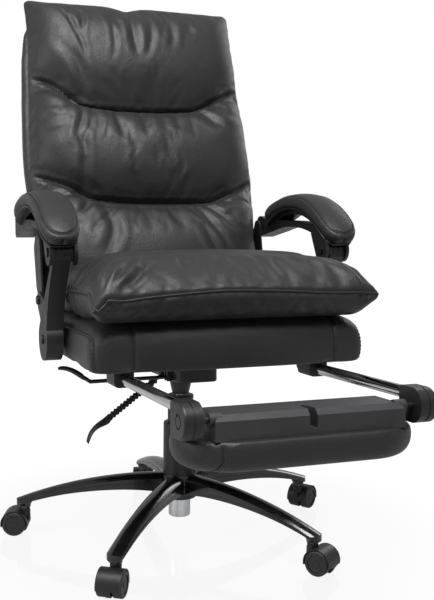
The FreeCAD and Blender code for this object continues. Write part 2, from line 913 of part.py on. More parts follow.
# Armrests, drawn on the sitter's left

ear_inner = (253.5, 260.5)
ear_outer = (299.0, 306.0)
ear_radius = 24.5
frame_inner = 266.0
frame_outer = 304.0
knuckle = (260.8, 298.7)
knuckle_radius = 17.5
arm_pin_radius = 5.0
side_gap = 0.3
arm_centre = 285.0
upright_outer = 298.7
arch_front_radius = 260.0
arch_rear_radius = 350.0
arch_crest = 729.0
pad_thick = 30.0
lip_thick = 4.0


def arch_point(angle, depth):
    """Y and Z on the armrest's arch, at an angle from its crest (rearwards positive) and a depth."""
    radius = arch_rear_radius if angle > 0 else arch_front_radius
    centre_z = arch_crest - radius
    turn = math.radians(angle)
    return ((radius - depth) * math.sin(turn), centre_z + (radius - depth) * math.cos(turn))


def arch_section(angle, half, top, low, crown):
    """Cross-section square to the arch, with a crowned top and rounded flanks."""
    def place(x, depth):
        y, z = arch_point(angle, depth)
        return V(arm_centre + x, y, z)

    edge = half - 0.06 * half
    return outline(
        (-edge, low),
        [
            ((edge, low),),
            ((half, low - 0.5 * (low - top)), (edge, top + crown)),
            ((0, top), (-edge, top + crown)),
            ((-half, low - 0.5 * (low - top)), (-edge, low)),
        ],
        place,
    )


def upright():
    """Curved arm that swings on the side link: a round foot, a slim neck and a knuckle."""
    fy, fz = upright_pivot
    ky, kz = arm_front_pivot
    foot = 41.0
    neck = side_plate(
        266.0,
        upright_outer,
        (fy - 36, fz + 20),
        [
            ((fy - 60, 520), (ky - 17, kz - 14)),
            ((ky - 17, kz),),
            ((ky + 17, kz),),
            ((ky + 19, kz - 32),),
            ((fy - 22, 522), (fy + 38, fz + 16)),
            ((fy - 36, fz + 20),),
        ],
    )
    disc = rod((266, fy, fz), (upright_outer, fy, fz), foot)
    body = neck.fuse(disc).removeSplitter()
    body = body.fuse(rod((knuckle[0], ky, kz), (knuckle[1], ky, kz), knuckle_radius))
    for x in (264.0, 274.5, 285.0):
        ring = rod((x, ky, kz), (x + 7.5, ky, kz), knuckle_radius + 1)
        body = body.fuse(ring)
    body = body.cut(rod((250, ky, kz), (310, ky, kz), arm_pin_radius))
    body = body.cut(rod((250, fy, fz), (310, fy, fz), pivot_bolt_radius + running_gap))
    return body


def arm_frame():
    """Moulded frame under the pad: an arched rail over a slim lower rail, a rear block and two ears."""
    ry, rz = arm_rear_pivot
    ky, kz = arm_front_pivot
    crest = arch_point(0, pad_thick + lip_thick - 1)
    front_top = arch_point(-28, pad_thick + lip_thick - 1)
    rail = side_plate(
        frame_inner,
        frame_outer,
        (212, 644),
        [
            ((212, 672),),
            ((204, 682), (190, 684)),
            (arch_point(24, pad_thick + lip_thick - 1),),
            (arch_point(12, pad_thick + lip_thick - 1), crest),
            (arch_point(-14, pad_thick + lip_thick - 1), front_top),
            (arch_point(-38, pad_thick + lip_thick - 1), arch_point(-45, pad_thick + lip_thick)),
            ((-160, 612),),
            ((-140, 604),),
            ((-128, 622),),
            ((-108, 634),),
            ((-5, 656), (112, 649)),
            ((204, 636),),
            ((212, 644),),
        ],
    )
    window = side_plate(
        frame_inner - 1,
        frame_outer + 1,
        (-84, 662),
        [((-2, 685), (92, 673)), ((-2, 669), (-84, 662))],
    )
    shape = rail.cut(window).fuse(arm_lip())
    for x0, x1 in (ear_inner, ear_outer):
        ear = rod((x0, ky, kz), (x1, ky, kz), ear_radius)
        arm = side_plate(
            x0,
            x1,
            (-169, 618),
            [((-150, 648), (-118, 662)), ((-100, 642),), ((-122, 600),), ((-169, 618),)],
        )
        shape = shape.fuse(ear).fuse(arm)
    clear = rod((ear_inner[1], ky, kz), (ear_outer[0], ky, kz), knuckle_radius + 2.2)
    shape = shape.cut(clear)
    shape = shape.cut(rod((240, ky, kz), (320, ky, kz), arm_pin_radius + running_gap))
    shape = shape.cut(rod((frame_inner - 1, ry, rz), (292, ry, rz), 9))
    return shape.removeSplitter()


def arm_lip():
    """Thin flange that carries the pad all round."""
    rows = [
        # angle, half width
        (26.4, 22.0),
        (25.0, 29.0),
        (21.0, 35.5),
        (12.0, 36.5),
        (0.0, 36.5),
        (-14.0, 36.5),
        (-28.0, 36.5),
        (-40.0, 36.0),
        (-46.0, 30.0),
        (-49.0, 20.0),
    ]
    base = pad_thick + lip_thick
    return Part.makeLoft([arch_section(a, w, pad_thick, base, 0.01) for a, w in rows], True, False)


def arm_pin():
    ky, kz = arm_front_pivot
    inside = ear_inner[0] - side_gap
    outside = ear_outer[1] + side_gap
    heads = ((inside - 2.7, inside), (outside, outside + 2.7))
    pin = rod((inside, ky, kz), (outside, ky, kz), arm_pin_radius)
    for x0, x1 in heads:
        pin = pin.fuse(rod((x0, ky, kz), (x1, ky, kz), 9))
    return pin


def arm_pad():
    """Padded armrest that follows the arch, with a crowned top and rounded ends."""
    rows = [
        # angle, half width, depth of the top, depth of the underside, crown
        (27.2, 12.0, 8.0, 24.0, 2.0),
        (26.3, 23.0, 4.0, 28.0, 3.0),
        (24.6, 31.0, 1.5, pad_thick, 5.0),
        (21.5, 36.5, 0.0, pad_thick, 6.0),
        (17.0, 39.0, 0.0, pad_thick, 7.0),
        (8.0, 39.0, 0.0, pad_thick, 7.0),
        (0.0, 39.0, 0.0, pad_thick, 7.0),
        (-12.0, 39.0, 0.0, pad_thick, 7.0),
        (-26.0, 39.0, 0.0, pad_thick, 7.0),
        (-36.0, 38.5, 0.0, pad_thick, 7.0),
        (-43.0, 35.0, 0.5, pad_thick, 6.0),
        (-47.5, 27.0, 2.5, pad_thick - 1, 5.0),
        (-50.0, 15.0, 7.0, pad_thick - 4, 3.0),
    ]
    pad = Part.makeLoft([arch_section(*row) for row in rows], True, False)
    return pad.cut(arm_frame())


def main():
    os.makedirs("parts", exist_ok=True)
    save("star_base", star_base(), leaned=False)
    save("gas_cylinder", gas_cylinder(), leaned=False)
    save("gas_piston", gas_piston(), leaned=False)
    save("cover_lower", cover_lower(), leaned=False)
    save("cover_upper", cover_upper(), leaned=False)
    save_casters()
    save("mech_housing", mech_housing(), leaned=False)
    save("mech_plate", mech_plate())
    save("plate_bolts", plate_bolts())
    save("height_lever", height_lever())
    save("height_grip", height_grip())
    save("recline_lever", recline_lever())
    save("recline_sleeve", recline_sleeve())
    save("recline_grip", recline_grip())
    save("seat_board", seat_board())
    save("seat_cushion_lower", cushion_lower())
    save("seat_cushion_top", cushion_top())
    save_pair("rail_guide", rail_guide())
    save_pair("side_link", side_link())
    save("hinge_bolts", hinge_bolts())
    save_pair("footrest_rail", footrest_rail())
    save("rail_stops", rail_stops())
    save_pair("footrest_bracket", footrest_bracket())
    save("footrest_pins", footrest_pins())
    save("footrest_tray", footrest_tray())
    save("footrest_pad", footrest_pad())
    save("back_board", back_board())
    save("back_shell", back_shell())
    save("back_cushion", back_cushion())
    save_pair("back_bracket", back_bracket())
    save_pair("upright", upright())
    save_pair("arm_frame", arm_frame())
    save_pair("arm_pin", arm_pin())
    save_pair("arm_pad", arm_pad())


main()
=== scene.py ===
import math

import bmesh
import bpy
import numpy as np
from bpy.props import FloatProperty, FloatVectorProperty, IntProperty, PointerProperty
from mathutils import Matrix, Vector
from mathutils.bvhtree import BVHTree


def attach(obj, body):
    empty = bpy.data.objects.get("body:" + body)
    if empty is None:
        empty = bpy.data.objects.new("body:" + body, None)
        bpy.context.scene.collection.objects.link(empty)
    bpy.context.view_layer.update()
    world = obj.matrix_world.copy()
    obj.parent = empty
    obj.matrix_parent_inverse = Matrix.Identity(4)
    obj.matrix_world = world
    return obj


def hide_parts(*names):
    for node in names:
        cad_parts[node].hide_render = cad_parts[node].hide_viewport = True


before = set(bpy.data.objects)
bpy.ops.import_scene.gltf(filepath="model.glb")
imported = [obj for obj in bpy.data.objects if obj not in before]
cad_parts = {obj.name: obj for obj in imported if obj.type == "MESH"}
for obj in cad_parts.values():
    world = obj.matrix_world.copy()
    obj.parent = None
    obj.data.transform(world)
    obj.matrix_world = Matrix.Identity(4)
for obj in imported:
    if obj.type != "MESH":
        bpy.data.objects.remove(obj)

bl_info = {
    "name": "Reclining office chair with footrest",
    "version": (1, 0, 0),
    "blender": (4, 5, 0),
    "location": "View3D > Sidebar > Chair",
    "description": "Builds the upholstery, finishes and studio of a reclining office chair",
    "category": "Object",
}

# The level drawing leans back about the column's head, and the back leans further about its hinge line.
SEAT_TILT = math.radians(2.75)
BACK_LEAN = math.radians(18.5)
COLUMN_HEAD = 0.330
HINGE_LEVEL = (0.164, 0.502)
# The camera's place, its turns, and its focal length and upward shift in the picture's own pixels
CAMERA_PLACE = (-0.6685, -1.9485, 0.7261)
CAMERA_YAW = math.radians(-21.005)
CAMERA_PITCH = math.radians(6.447)
CAMERA_ROLL = math.radians(0.754)
PICTURE_HIGH = 600
FOCAL_PIXELS = 994.42
SHIFT_PIXELS = 6
SENSOR_WIDE = 36.0
# Distances from the chair's middle over which the floor turns fully white and its mirror image fades
WHITE_NEAR = 0.40
WHITE_FAR = 1.00
MIRROR_NEAR = 0.45
MIRROR_FAR = 1.15


def tilted(x, y, z):
    """A point of the level drawing, in the leaned frame."""
    up = z - COLUMN_HEAD
    c = math.cos(SEAT_TILT)
    s = math.sin(SEAT_TILT)
    return Vector((x, y * c + up * s, COLUMN_HEAD + up * c - y * s))


def to_level(points):
    """Points of the leaned frame as X, Y, Z of the level drawing, by rows."""
    c = math.cos(SEAT_TILT)
    s = math.sin(SEAT_TILT)
    up = points[:, 2] - COLUMN_HEAD
    return np.stack([points[:, 0], points[:, 1] * c - up * s, COLUMN_HEAD + up * c + points[:, 1] * s], 1)


HINGE = tilted(0, *HINGE_LEVEL)


def on_back(x, s, t):
    """A point s up along the back and t behind its hinge line."""
    c = math.cos(BACK_LEAN)
    n = math.sin(BACK_LEAN)
    return Vector((x, HINGE.y + s * n + t * c, HINGE.z + s * c - t * n))


def to_back(points):
    """Points of the leaned frame as X, height along the back and depth behind its hinge line, by rows."""
    c = math.cos(BACK_LEAN)
    n = math.sin(BACK_LEAN)
    y = points[:, 1] - HINGE.y
    z = points[:, 2] - HINGE.z
    return np.stack([points[:, 0], y * n + z * c, y * c - z * n], 1)


# Settings that a user would change


class StudioSettings(bpy.types.PropertyGroup):
    key_power: FloatProperty(
        name="Key light", description="Power of the large soft light above and in front",
        default=126.0, min=0.0, unit="POWER")
    side_power: FloatProperty(
        name="Side light", description="Power of the tall soft light on the left",
        default=24.0, min=0.0, unit="POWER")
    rim_power: FloatProperty(
        name="Rim light", description="Power of the strip light behind on the right",
        default=14.0, min=0.0, unit="POWER")
    fill: FloatProperty(
        name="Fill", description="Strength of the white room as a light",
        default=0.18, min=0.0, max=1.0)
    mirrored: FloatProperty(
        name="Mirrored", description="Strength of the white room in reflections",
        default=0.42, min=0.0, max=1.0)
    floor_radius: FloatProperty(
        name="Floor radius", description="Radius of the round floor",
        default=9.0, min=2.0, unit="LENGTH")


class LeatherSettings(bpy.types.PropertyGroup):
    colour: FloatVectorProperty(
        name="Colour", description="Colour of the coated surface",
        default=(0.0070, 0.0070, 0.0075), size=3, min=0.0, max=1.0, subtype="COLOR")
    grain: FloatProperty(
        name="Grain", description="Width of one pebble of the embossed grain",
        default=0.0021, min=0.0003, max=0.01, unit="LENGTH")
    roughness: FloatProperty(
        name="Roughness", description="Roughness of the top coat",
        default=0.50, min=0.1, max=1.0)
    stitch: FloatProperty(
        name="Stitch", description="Length of one stitch with its gap",
        default=0.0075, min=0.003, max=0.02, unit="LENGTH")
    thread: FloatProperty(
        name="Thread", description="Thickness of the sewing thread",
        default=0.0011, min=0.0004, max=0.003, unit="LENGTH")


class UpholsterySettings(bpy.types.PropertyGroup):
    voxel: FloatProperty(
        name="Mesh size", description="Voxel size of a cushion's mesh before it is filled",
        default=0.0066, min=0.004, max=0.012, unit="LENGTH")
    pressure: FloatProperty(
        name="Pressure", description="Pressure of the filling",
        default=4.0, min=0.0, max=20.0)
    folds: FloatProperty(
        name="Folds", description="Depth of the gathered folds, as a share of the drawn ones",
        default=0.68, min=0.0, max=1.5)
    frames: IntProperty(
        name="Frames", description="Steps that the filling is given to settle",
        default=20, min=1, max=60)


def studio():
    return bpy.context.scene.chair_studio


def leather_settings():
    return bpy.context.scene.chair_leather


def upholstery():
    return bpy.context.scene.chair_upholstery


# Materials


def colour(text):
    """An sRGB hex colour as the linear values that a shader takes."""
    channels = [int(text[i:i + 2], 16) / 255 for i in (1, 3, 5)]
    linear = [c / 12.92 if c <= 0.04045 else ((c + 0.055) / 1.055) ** 2.4 for c in channels]
    return (*linear, 1.0)


def add_node(tree, kind, settings=None, links=None):
    """One shader node with its settings, sockets' values and links."""
    node = tree.nodes.new(kind)
    for key, value in (settings or {}).items():
        if isinstance(key, int) or key in node.inputs:
            node.inputs[key].default_value = value
        else:
            setattr(node, key, value)
    for key, source in (links or {}).items():
        tree.links.new(source, node.inputs[key])
    return node


def new_material(name):
    """An empty material: its tree, its shader and the object's coordinates."""
    material = bpy.data.materials.new(name)
    material.use_nodes = True
    tree = material.node_tree
    shader = tree.nodes["Principled BSDF"]
    place = tree.nodes.new("ShaderNodeTexCoord").outputs["Object"]
    return material, tree, shader, place


def ramp(tree, factor, stops):
    """A colour ramp with its stops as position and hex colour."""
    node = add_node(tree, "ShaderNodeValToRGB", links={"Fac": factor})
    elements = node.color_ramp.elements
    elements[0].position = stops[0][0]
    elements[0].color = colour(stops[0][1])
    elements[1].position = stops[-1][0]
    elements[1].color = colour(stops[-1][1])
    for position, text in stops[1:-1]:
        elements.new(position).color = colour(text)
    return node.outputs["Color"]


def steps(tree, factor, low, high, out_low, out_high):
    """A number carried from one range to another, clamped."""
    limits = {"From Min": low, "From Max": high, "To Min": out_low, "To Max": out_high}
    return add_node(tree, "ShaderNodeMapRange", limits, {"Value": factor}).outputs["Result"]


def noise(tree, place, scale, detail, rough=0.5, bend=0.0):
    """A cloudy noise as a number."""
    settings = {"Scale": scale, "Detail": detail, "Roughness": rough, "Distortion": bend}
    return add_node(tree, "ShaderNodeTexNoise", settings, {"Vector": place}).outputs["Fac"]


def relief(tree, height, strength, distance, under=None):
    """A bump from a height, over another bump where one is given."""
    links = {"Height": height}
    if under is not None:
        links["Normal"] = under
    node = add_node(tree, "ShaderNodeBump", {"Strength": strength, "Distance": distance}, links)
    return node.outputs["Normal"]


def reckon(tree, operation, *values):
    """A maths node's result. Each value is a number or another node's output."""
    node = add_node(tree, "ShaderNodeMath", {"operation": operation})
    for k, value in enumerate(values):
        if isinstance(value, float):
            node.inputs[k].default_value = value
        else:
            tree.links.new(value, node.inputs[k])
    return node.outputs[0]


def mixed(tree, share, first, second):
    """Two shaders, mixed by the share of the second."""
    return add_node(tree, "ShaderNodeMixShader", links={0: share, 1: first, 2: second}).outputs[0]


def glow(tree, kind, strength):
    """A white emission or background."""
    return add_node(tree, kind, {"Color": (1, 1, 1, 1), "Strength": strength}).outputs[0]


def worn(name, cloud, shades, roughness, texture=None, **sockets):
    """A hard finish: one cloudy noise varies its colour and roughness, and a finer one gives its relief.
    cloud holds the noise's scale, detail, roughness and distortion. roughness holds the noise's range and the
    values at its ends. texture holds the finer noise and the bump's strength and height."""
    material, tree, shader, place = new_material(name)
    factor = noise(tree, place, *cloud)
    tree.links.new(ramp(tree, factor, shades), shader.inputs["Base Color"])
    tree.links.new(steps(tree, factor, *roughness), shader.inputs["Roughness"])
    if texture:
        grain, strength, distance = texture
        tree.links.new(relief(tree, noise(tree, place, *grain), strength, distance), shader.inputs["Normal"])
    for socket, value in sockets.items():
        shader.inputs[socket.replace("_", " ")].default_value = value
    return material


def bonded_leather():
    """Black bonded leather, split leather under an embossed polyurethane coat."""
    # The coat gives a soft, slightly greasy sheen with a fine pebble grain. It is drawn coarser than a real
    # one, which is too fine to show at this distance.
    material, tree, shader, place = new_material("bonded_leather_embossed_black")
    sizes = leather_settings()
    cells = {"feature": "SMOOTH_F1", "Scale": 1 / sizes.grain, "Smoothness": 0.6}
    pebble = add_node(tree, "ShaderNodeTexVoronoi", cells, {"Vector": place})
    warp = noise(tree, place, 55.0, 3.0, 0.55)
    creases = noise(tree, place, 210.0, 5.0, 0.62, 0.6)
    patches = noise(tree, place, 9.0, 3.0)
    dark = [channel * 0.86 for channel in sizes.colour] + [1.0]
    light = [channel * 1.22 for channel in sizes.colour] + [1.0]
    tone = add_node(tree, "ShaderNodeMix", {"data_type": "RGBA", 6: dark, 7: light},
                    {0: steps(tree, patches, 0.3, 0.7, 0.0, 1.0)})
    tree.links.new(tone.outputs[2], shader.inputs["Base Color"])
    rough = reckon(tree, "ADD", steps(tree, warp, 0.3, 0.7, 0.03, 0.15), sizes.roughness - 0.09)
    tree.links.new(rough, shader.inputs["Roughness"])
    grain = relief(tree, pebble.outputs["Distance"], 0.35, 0.0006)
    tree.links.new(relief(tree, creases, 0.5, 0.0011, grain), shader.inputs["Normal"])
    shader.inputs["IOR"].default_value = 1.48
    shader.inputs["Sheen Weight"].default_value = 0.05
    shader.inputs["Sheen Roughness"].default_value = 0.6
    return material


def sewing_thread(name, dark, light):
    """Bonded polyester thread, twisted."""
    # Dull, with the twist's fine slanting ridges painted as darker and lighter bands of colour: painted shade
    # and light, as the thread has no relief.
    material, tree, shader, place = new_material(name)
    twist_shading = add_node(tree, "ShaderNodeTexWave", {"Scale": 900.0, "Distortion": 1.0}, {"Vector": place})
    shade = ramp(tree, twist_shading.outputs["Fac"], [(0.0, dark), (1.0, light)])
    tree.links.new(shade, shader.inputs["Base Color"])
    shader.inputs["Roughness"].default_value = 0.7
    return material


def gloss_base():
    """Glass-filled nylon with a gloss black coat, as on a moulded star base."""
    # Deep black with sharp highlights and a trace of the mould's orange peel.
    return worn("gloss_black_moulded_nylon", (34.0, 6.0, 0.7), [(0.35, "#0b0b0c"), (0.75, "#161617")],
                (0.35, 0.75, 0.14, 0.27), ((260.0, 2.0), 0.12, 0.0006), Coat_Weight=0.35, Coat_Roughness=0.08)


def satin_plastic(name, dark, light, roughness, texture):
    """Polypropylene moulded against a spark-textured tool."""
    # The texture scatters the light into a soft satin sheen, with faint scuffs that are smoother.
    return worn(name, (26.0, 6.0, 0.72, 0.4), [(0.3, dark), (0.72, light)],
                (0.3, 0.75, roughness + 0.06, roughness - 0.07),
                ((1 / texture, 4.0, 0.65), 0.28, 0.0005), IOR=1.49)


def painted_steel():
    """Pressed steel under black powder coat."""
    # An even satin black with the coat's fine orange peel.
    return worn("powder_coated_steel_black", (40.0, 5.0, 0.7), [(0.35, "#111112"), (0.7, "#1c1c1d")],
                (0.35, 0.75, 0.42, 0.30), ((620.0, 3.0), 0.25, 0.0004))


def chrome():
    """Steel tube under bright chrome plate."""
    # A mirror with faint cloudy polishing marks.
    return worn("chrome_plated_steel_polished", (90.0, 5.0, 0.6), [(0.3, "#d4d5d8"), (0.7, "#e6e7e9")],
                (0.3, 0.75, 0.05, 0.15), Metallic=1.0)


def dark_steel():
    """Machined steel bolts with a black oxide finish."""
    # Dark grey with a dull metallic glint, browner where it is rubbed.
    return worn("black_oxide_steel_turned", (120.0, 5.0, 0.66), [(0.3, "#2a2a2b"), (0.72, "#4a4847")],
                (0.3, 0.75, 0.46, 0.3), Metallic=0.85)


def zinc_steel():
    """Zinc-plated steel axles and stems."""
    # Pale grey metal with a cloudy, slightly rough plate.
    return worn("zinc_plated_steel", (75.0, 4.0), [(0.3, "#8f9294"), (0.7, "#b5b7b8")],
                (0.3, 0.7, 0.4, 0.26), Metallic=1.0)


def stained_plywood():
    """Rotary-cut birch plywood, stained black."""
    # Near black with long grain along X that shows as faint brown streaks.
    material, tree, shader, place = new_material("birch_plywood_stained_black")
    along = add_node(tree, "ShaderNodeMapping", {"Scale": (6.0, 70.0, 70.0)}, {"Vector": place})
    grain = noise(tree, along.outputs["Vector"], 3.0, 7.0, 0.6, 0.5)
    shade = ramp(tree, grain, [(0.3, "#121110"), (0.5, "#1a1816"), (0.7, "#262220")])
    tree.links.new(shade, shader.inputs["Base Color"])
    shader.inputs["Roughness"].default_value = 0.72
    tree.links.new(relief(tree, grain, 0.3, 0.0005), shader.inputs["Normal"])
    return material


def pair(name):
    return [name + "_left", name + "_right"]


def five(name):
    return ["%s_%d" % (name, k) for k in range(1, 6)]


def finish_nodes(material, *names):
    """Gives CAD nodes a material in their own slots."""
    for name in names:
        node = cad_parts[name]
        for slot in node.material_slots:
            slot.material = material
        if not node.material_slots:
            node.data.materials.append(material)


# Working on a mesh


def deselect():
    if bpy.context.object and bpy.context.object.mode != "OBJECT":
        bpy.ops.object.mode_set(mode="OBJECT")
    bpy.ops.object.select_all(action="DESELECT")


def pick(piece):
    deselect()
    piece.select_set(True)
    bpy.context.view_layer.objects.active = piece


def points_of(piece):
    flat = np.empty(len(piece.data.vertices) * 3, np.float32)
    piece.data.vertices.foreach_get("co", flat)
    return flat.reshape(-1, 3).astype(float)


def normals_of(piece):
    flat = np.empty(len(piece.data.vertices) * 3, np.float32)
    piece.data.vertices.foreach_get("normal", flat)
    return flat.reshape(-1, 3).astype(float)


def move_points(piece, points):
    piece.data.vertices.foreach_set("co", points.astype(np.float32).ravel())
    piece.data.update()


def copy_of_node(node, name):
    """A CAD solid's mesh as a new piece, merged into one skin."""
    piece = bpy.data.objects.new(name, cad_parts[node].data.copy())
    bpy.context.scene.collection.objects.link(piece)
    piece.data.materials.clear()
    pick(piece)
    bpy.ops.object.mode_set(mode="EDIT")
    bpy.ops.mesh.select_all(action="SELECT")
    bpy.ops.mesh.remove_doubles(threshold=0.00005)
    bpy.ops.mesh.normals_make_consistent(inside=False)
    bpy.ops.object.mode_set(mode="OBJECT")
    return piece


def apply_modifier(piece, kind, **settings):
    pick(piece)
    modifier = piece.modifiers.new(kind.lower(), kind)
    for key, value in settings.items():
        setattr(modifier, key, value)
    bpy.ops.object.modifier_apply(modifier=modifier.name)


def reskin(piece, voxel, smoothing=3):
    """An even skin of small squares, smoothed to lose the voxels' steps."""
    apply_modifier(piece, "REMESH", mode="VOXEL", voxel_size=voxel, use_smooth_shade=True)
    apply_modifier(piece, "SMOOTH", factor=0.5, iterations=smoothing)


def subdivide(piece):
    apply_modifier(piece, "SUBSURF", levels=1, render_levels=1)
    pick(piece)
    bpy.ops.object.shade_smooth()


def fill_with_foam(piece, held, cap, pressure=None, shrink=0.0):
    """Swells a skin as a filled cover by cloth under pressure. held, 0 to 1, says how firmly a point stays."""
    sizes = upholstery()
    before = points_of(piece)
    group = piece.vertex_groups.new(name="held")
    for level in np.unique(np.round(held, 1)):
        if level > 0:
            rows = np.nonzero(np.round(held, 1) == level)[0]
            group.add(rows.tolist(), float(level), "REPLACE")
    pick(piece)
    modifier = piece.modifiers.new("filling", "CLOTH")
    cloth = modifier.settings
    cloth.quality = 5
    cloth.mass = 0.3
    cloth.tension_stiffness = 12
    cloth.compression_stiffness = 12
    cloth.shear_stiffness = 5
    cloth.bending_stiffness = 0.8
    cloth.use_pressure = True
    cloth.uniform_pressure_force = pressure or sizes.pressure
    cloth.effector_weights.gravity = 0.0
    cloth.vertex_group_mass = "held"
    cloth.shrink_min = shrink
    for step in range(1, sizes.frames + 1):
        bpy.context.scene.frame_set(step)
    bpy.ops.object.modifier_apply(modifier=modifier.name)
    bpy.context.scene.frame_set(1)
    piece.vertex_groups.clear()
    after = points_of(piece)
    moved = after - before
    length = np.linalg.norm(moved, axis=1, keepdims=True)
    limited = cap * np.tanh(length / cap)
    move_points(piece, before + moved * limited / np.maximum(length, 1e-9))


# Sewing: seams, folds, piping and stitches on a finished skin


def smooth_path(path, spacing):
    """A row of points as a smooth curve with even spacing."""
    given = np.asarray([list(p) for p in path], float)
    padded = np.vstack([2 * given[0] - given[1], given, 2 * given[-1] - given[-2]])
    out = []
    for k in range(1, len(padded) - 2):
        a, b, c, d = padded[k - 1:k + 3]
        count = max(2, int(np.linalg.norm(c - b) / spacing))
        for u in np.linspace(0, 1, count, endpoint=False):
            square = (2 * a - 5 * b + 4 * c - d) * u * u
            cube = (3 * b - a - 3 * c + d) * u ** 3
            out.append(0.5 * (2 * b + (c - a) * u + square + cube))
    out.append(given[-1])
    return np.array(out)


def nearness(points, path):
    """Each point's distance to a path and how far along the path its nearest place is, from 0 to 1."""
    lengths = np.linalg.norm(np.diff(path, axis=0), axis=1)
    total = max(lengths.sum(), 1e-9)
    best = np.full(len(points), 1e9)
    along = np.zeros(len(points))
    done = 0.0
    for a, b, length in zip(path[:-1], path[1:], lengths):
        step = b - a
        u = np.clip(((points - a) @ step) / max(length * length, 1e-12), 0, 1)
        gap = np.linalg.norm(points - a - u[:, None] * step, axis=1)
        closer = gap < best
        best[closer] = gap[closer]
        along[closer] = (done + u[closer] * length) / total
        done += length
    return best, along


def groove(offsets, points, path, width, depth, shoulder=0.3, taper=False):
    """Adds a sewn channel along a path to the offsets: a narrow valley between two low ridges."""
    path = np.asarray(path, float)
    low = path.min(0) - 5 * width
    high = path.max(0) + 5 * width
    rows = np.nonzero(((points > low) & (points < high)).all(1))[0]
    if not len(rows):
        return
    gap, along = nearness(points[rows], path)
    shape = -np.exp(-(gap / width) ** 2) + shoulder * np.exp(-((gap - 2.3 * width) / (0.9 * width)) ** 2)
    if taper:
        shape = shape * np.sin(np.pi * np.clip(along, 0.02, 0.98)) ** 0.7
    offsets[rows] += depth * shape


def press(piece, offsets):
    move_points(piece, points_of(piece) + normals_of(piece) * offsets[:, None])


def tree_of(piece):
    mesh = bmesh.new()
    mesh.from_mesh(piece.data)
    tree = BVHTree.FromBMesh(mesh)
    mesh.free()
    return tree


def pull(piece, place, move, reach):
    """Drags the skin near a place into a point."""
    points = points_of(piece)
    gap = np.linalg.norm(points - np.array(place), axis=1)
    share = np.exp(-gap / reach) * (gap < 6 * reach)
    move_points(piece, points + share[:, None] * np.array(move))


def dropped(tree, path):
    """A path given in X and Y of the level drawing, dropped from above onto a skin."""
    down = tilted(0, 0, 0) - tilted(0, 0, 1)
    out = []
    for x, y in smooth_path(path, 0.006):
        place, _, _, _ = tree.ray_cast(tilted(x, y, 0.8), down)
        if place:
            out.append(place)
    return out


def sew_seams(piece, paths, width, depth, shoulder=0.0):
    points = points_of(piece)
    offsets = np.zeros(len(points))
    for path in paths:
        groove(offsets, points, path, width, depth, shoulder)
    press(piece, offsets)


def cast_on(tree, path, middle, lift, spacing=0.006):
    """A closed path round a cushion, moved level towards its middle until it meets the skin. middle holds the
    middle box's half width in X, and its lowest and highest Y, in the level drawing."""
    out = []
    for point in smooth_path(path, spacing):
        x, y, z = to_level(np.array([point]))[0]
        aim = tilted(np.clip(x, -middle[0], middle[0]), np.clip(y, middle[1], middle[2]), z) - Vector(point)
        aim.normalize()
        place, _, _, _ = tree.ray_cast(Vector(point) - aim * 0.08, aim)
        if place:
            out.append(place - aim * lift)
    return out


def laid_on(tree, path, lift, spacing=0.006):
    """A path dropped to the nearest place on a skin, and lifted off it."""
    out = []
    for point in smooth_path(path, spacing):
        place, normal, _, _ = tree.find_nearest(Vector(point))
        out.append(place + normal * lift)
    return out


def line_curve(name, points):
    data = bpy.data.curves.new(name, "CURVE")
    data.dimensions = "3D"
    spline = data.splines.new("NURBS")
    spline.points.add(len(points) - 1)
    for row, point in zip(spline.points, points):
        row.co = (*point, 1.0)
    spline.use_endpoint_u = True
    spline.order_u = 3
    curve = bpy.data.objects.new(name, data)
    bpy.context.scene.collection.objects.link(curve)
    return curve


def piping(name, points, radius):
    """A sewn welt or piping: a round cord under the leather, along a line."""
    curve = line_curve(name, points)
    curve.data.bevel_depth = radius
    curve.data.bevel_resolution = 3
    curve.data.use_fill_caps = True
    pick(curve)
    bpy.ops.object.convert(target="MESH")
    piece = bpy.context.object
    piece.name = name
    bpy.ops.object.shade_smooth()
    return piece


def seam_shade_lines(name, lines, radius):
    """The drawn-in thread at the bottom of a seam as a dark line, as one piece: partly the real thread, and
    partly painted shade that stands in for the seam's own shade, which the mesh is too coarse to cast.
    """
    threads = [piping(name + "_%d" % k, points, radius) for k, points in enumerate(lines)]
    return joined(name, threads)


def joined(name, pieces):
    deselect()
    for piece in pieces:
        piece.select_set(True)
    bpy.context.view_layer.objects.active = pieces[0]
    if len(pieces) > 1:
        bpy.ops.object.join()
    piece = bpy.context.object
    piece.name = name
    return piece


def stitches(name, lines):
    """Rows of short thread beads along lines on a skin, as one piece."""
    sizes = leather_settings()
    rows = []
    for points in lines:
        curve = line_curve(name + "_line", points)
        deselect()
        turn = (0, math.pi / 2, 0)
        bpy.ops.mesh.primitive_uv_sphere_add(segments=6, ring_count=4, radius=0.5, rotation=turn)
        bead = bpy.context.object
        bpy.ops.object.transform_apply(location=False, rotation=True, scale=False)
        bead.scale = (sizes.stitch * 0.66, sizes.thread, sizes.thread * 0.8)
        bpy.ops.object.transform_apply(location=False, rotation=False, scale=True)
        apply_modifier(bead, "ARRAY", fit_type="FIT_CURVE", curve=curve, use_relative_offset=False,
                       use_constant_offset=True, constant_offset_displace=(sizes.stitch, 0, 0))
        apply_modifier(bead, "CURVE", object=curve, deform_axis="POS_X")
        bpy.data.objects.remove(curve)
        rows.append(bead)
    piece = joined(name, rows)
    pick(piece)
    bpy.ops.object.transform_apply(location=True, rotation=True, scale=True)
    bpy.ops.object.shade_smooth()
    return piece


def dress(piece, body, material):
    piece.data.materials.append(material)
    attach(piece, body)
    return piece


def leather():
    return bpy.data.materials.get("bonded_leather_embossed_black") or bonded_leather()


def black_thread():
    name = "polyester_thread_black"
    return bpy.data.materials.get(name) or sewing_thread(name, "#0e0e0f", "#1d1d1e")


def grey_thread():
    name = "polyester_thread_grey"
    return bpy.data.materials.get(name) or sewing_thread(name, "#5c5c5e", "#7e7e80")


# Operators, one for each group of pieces


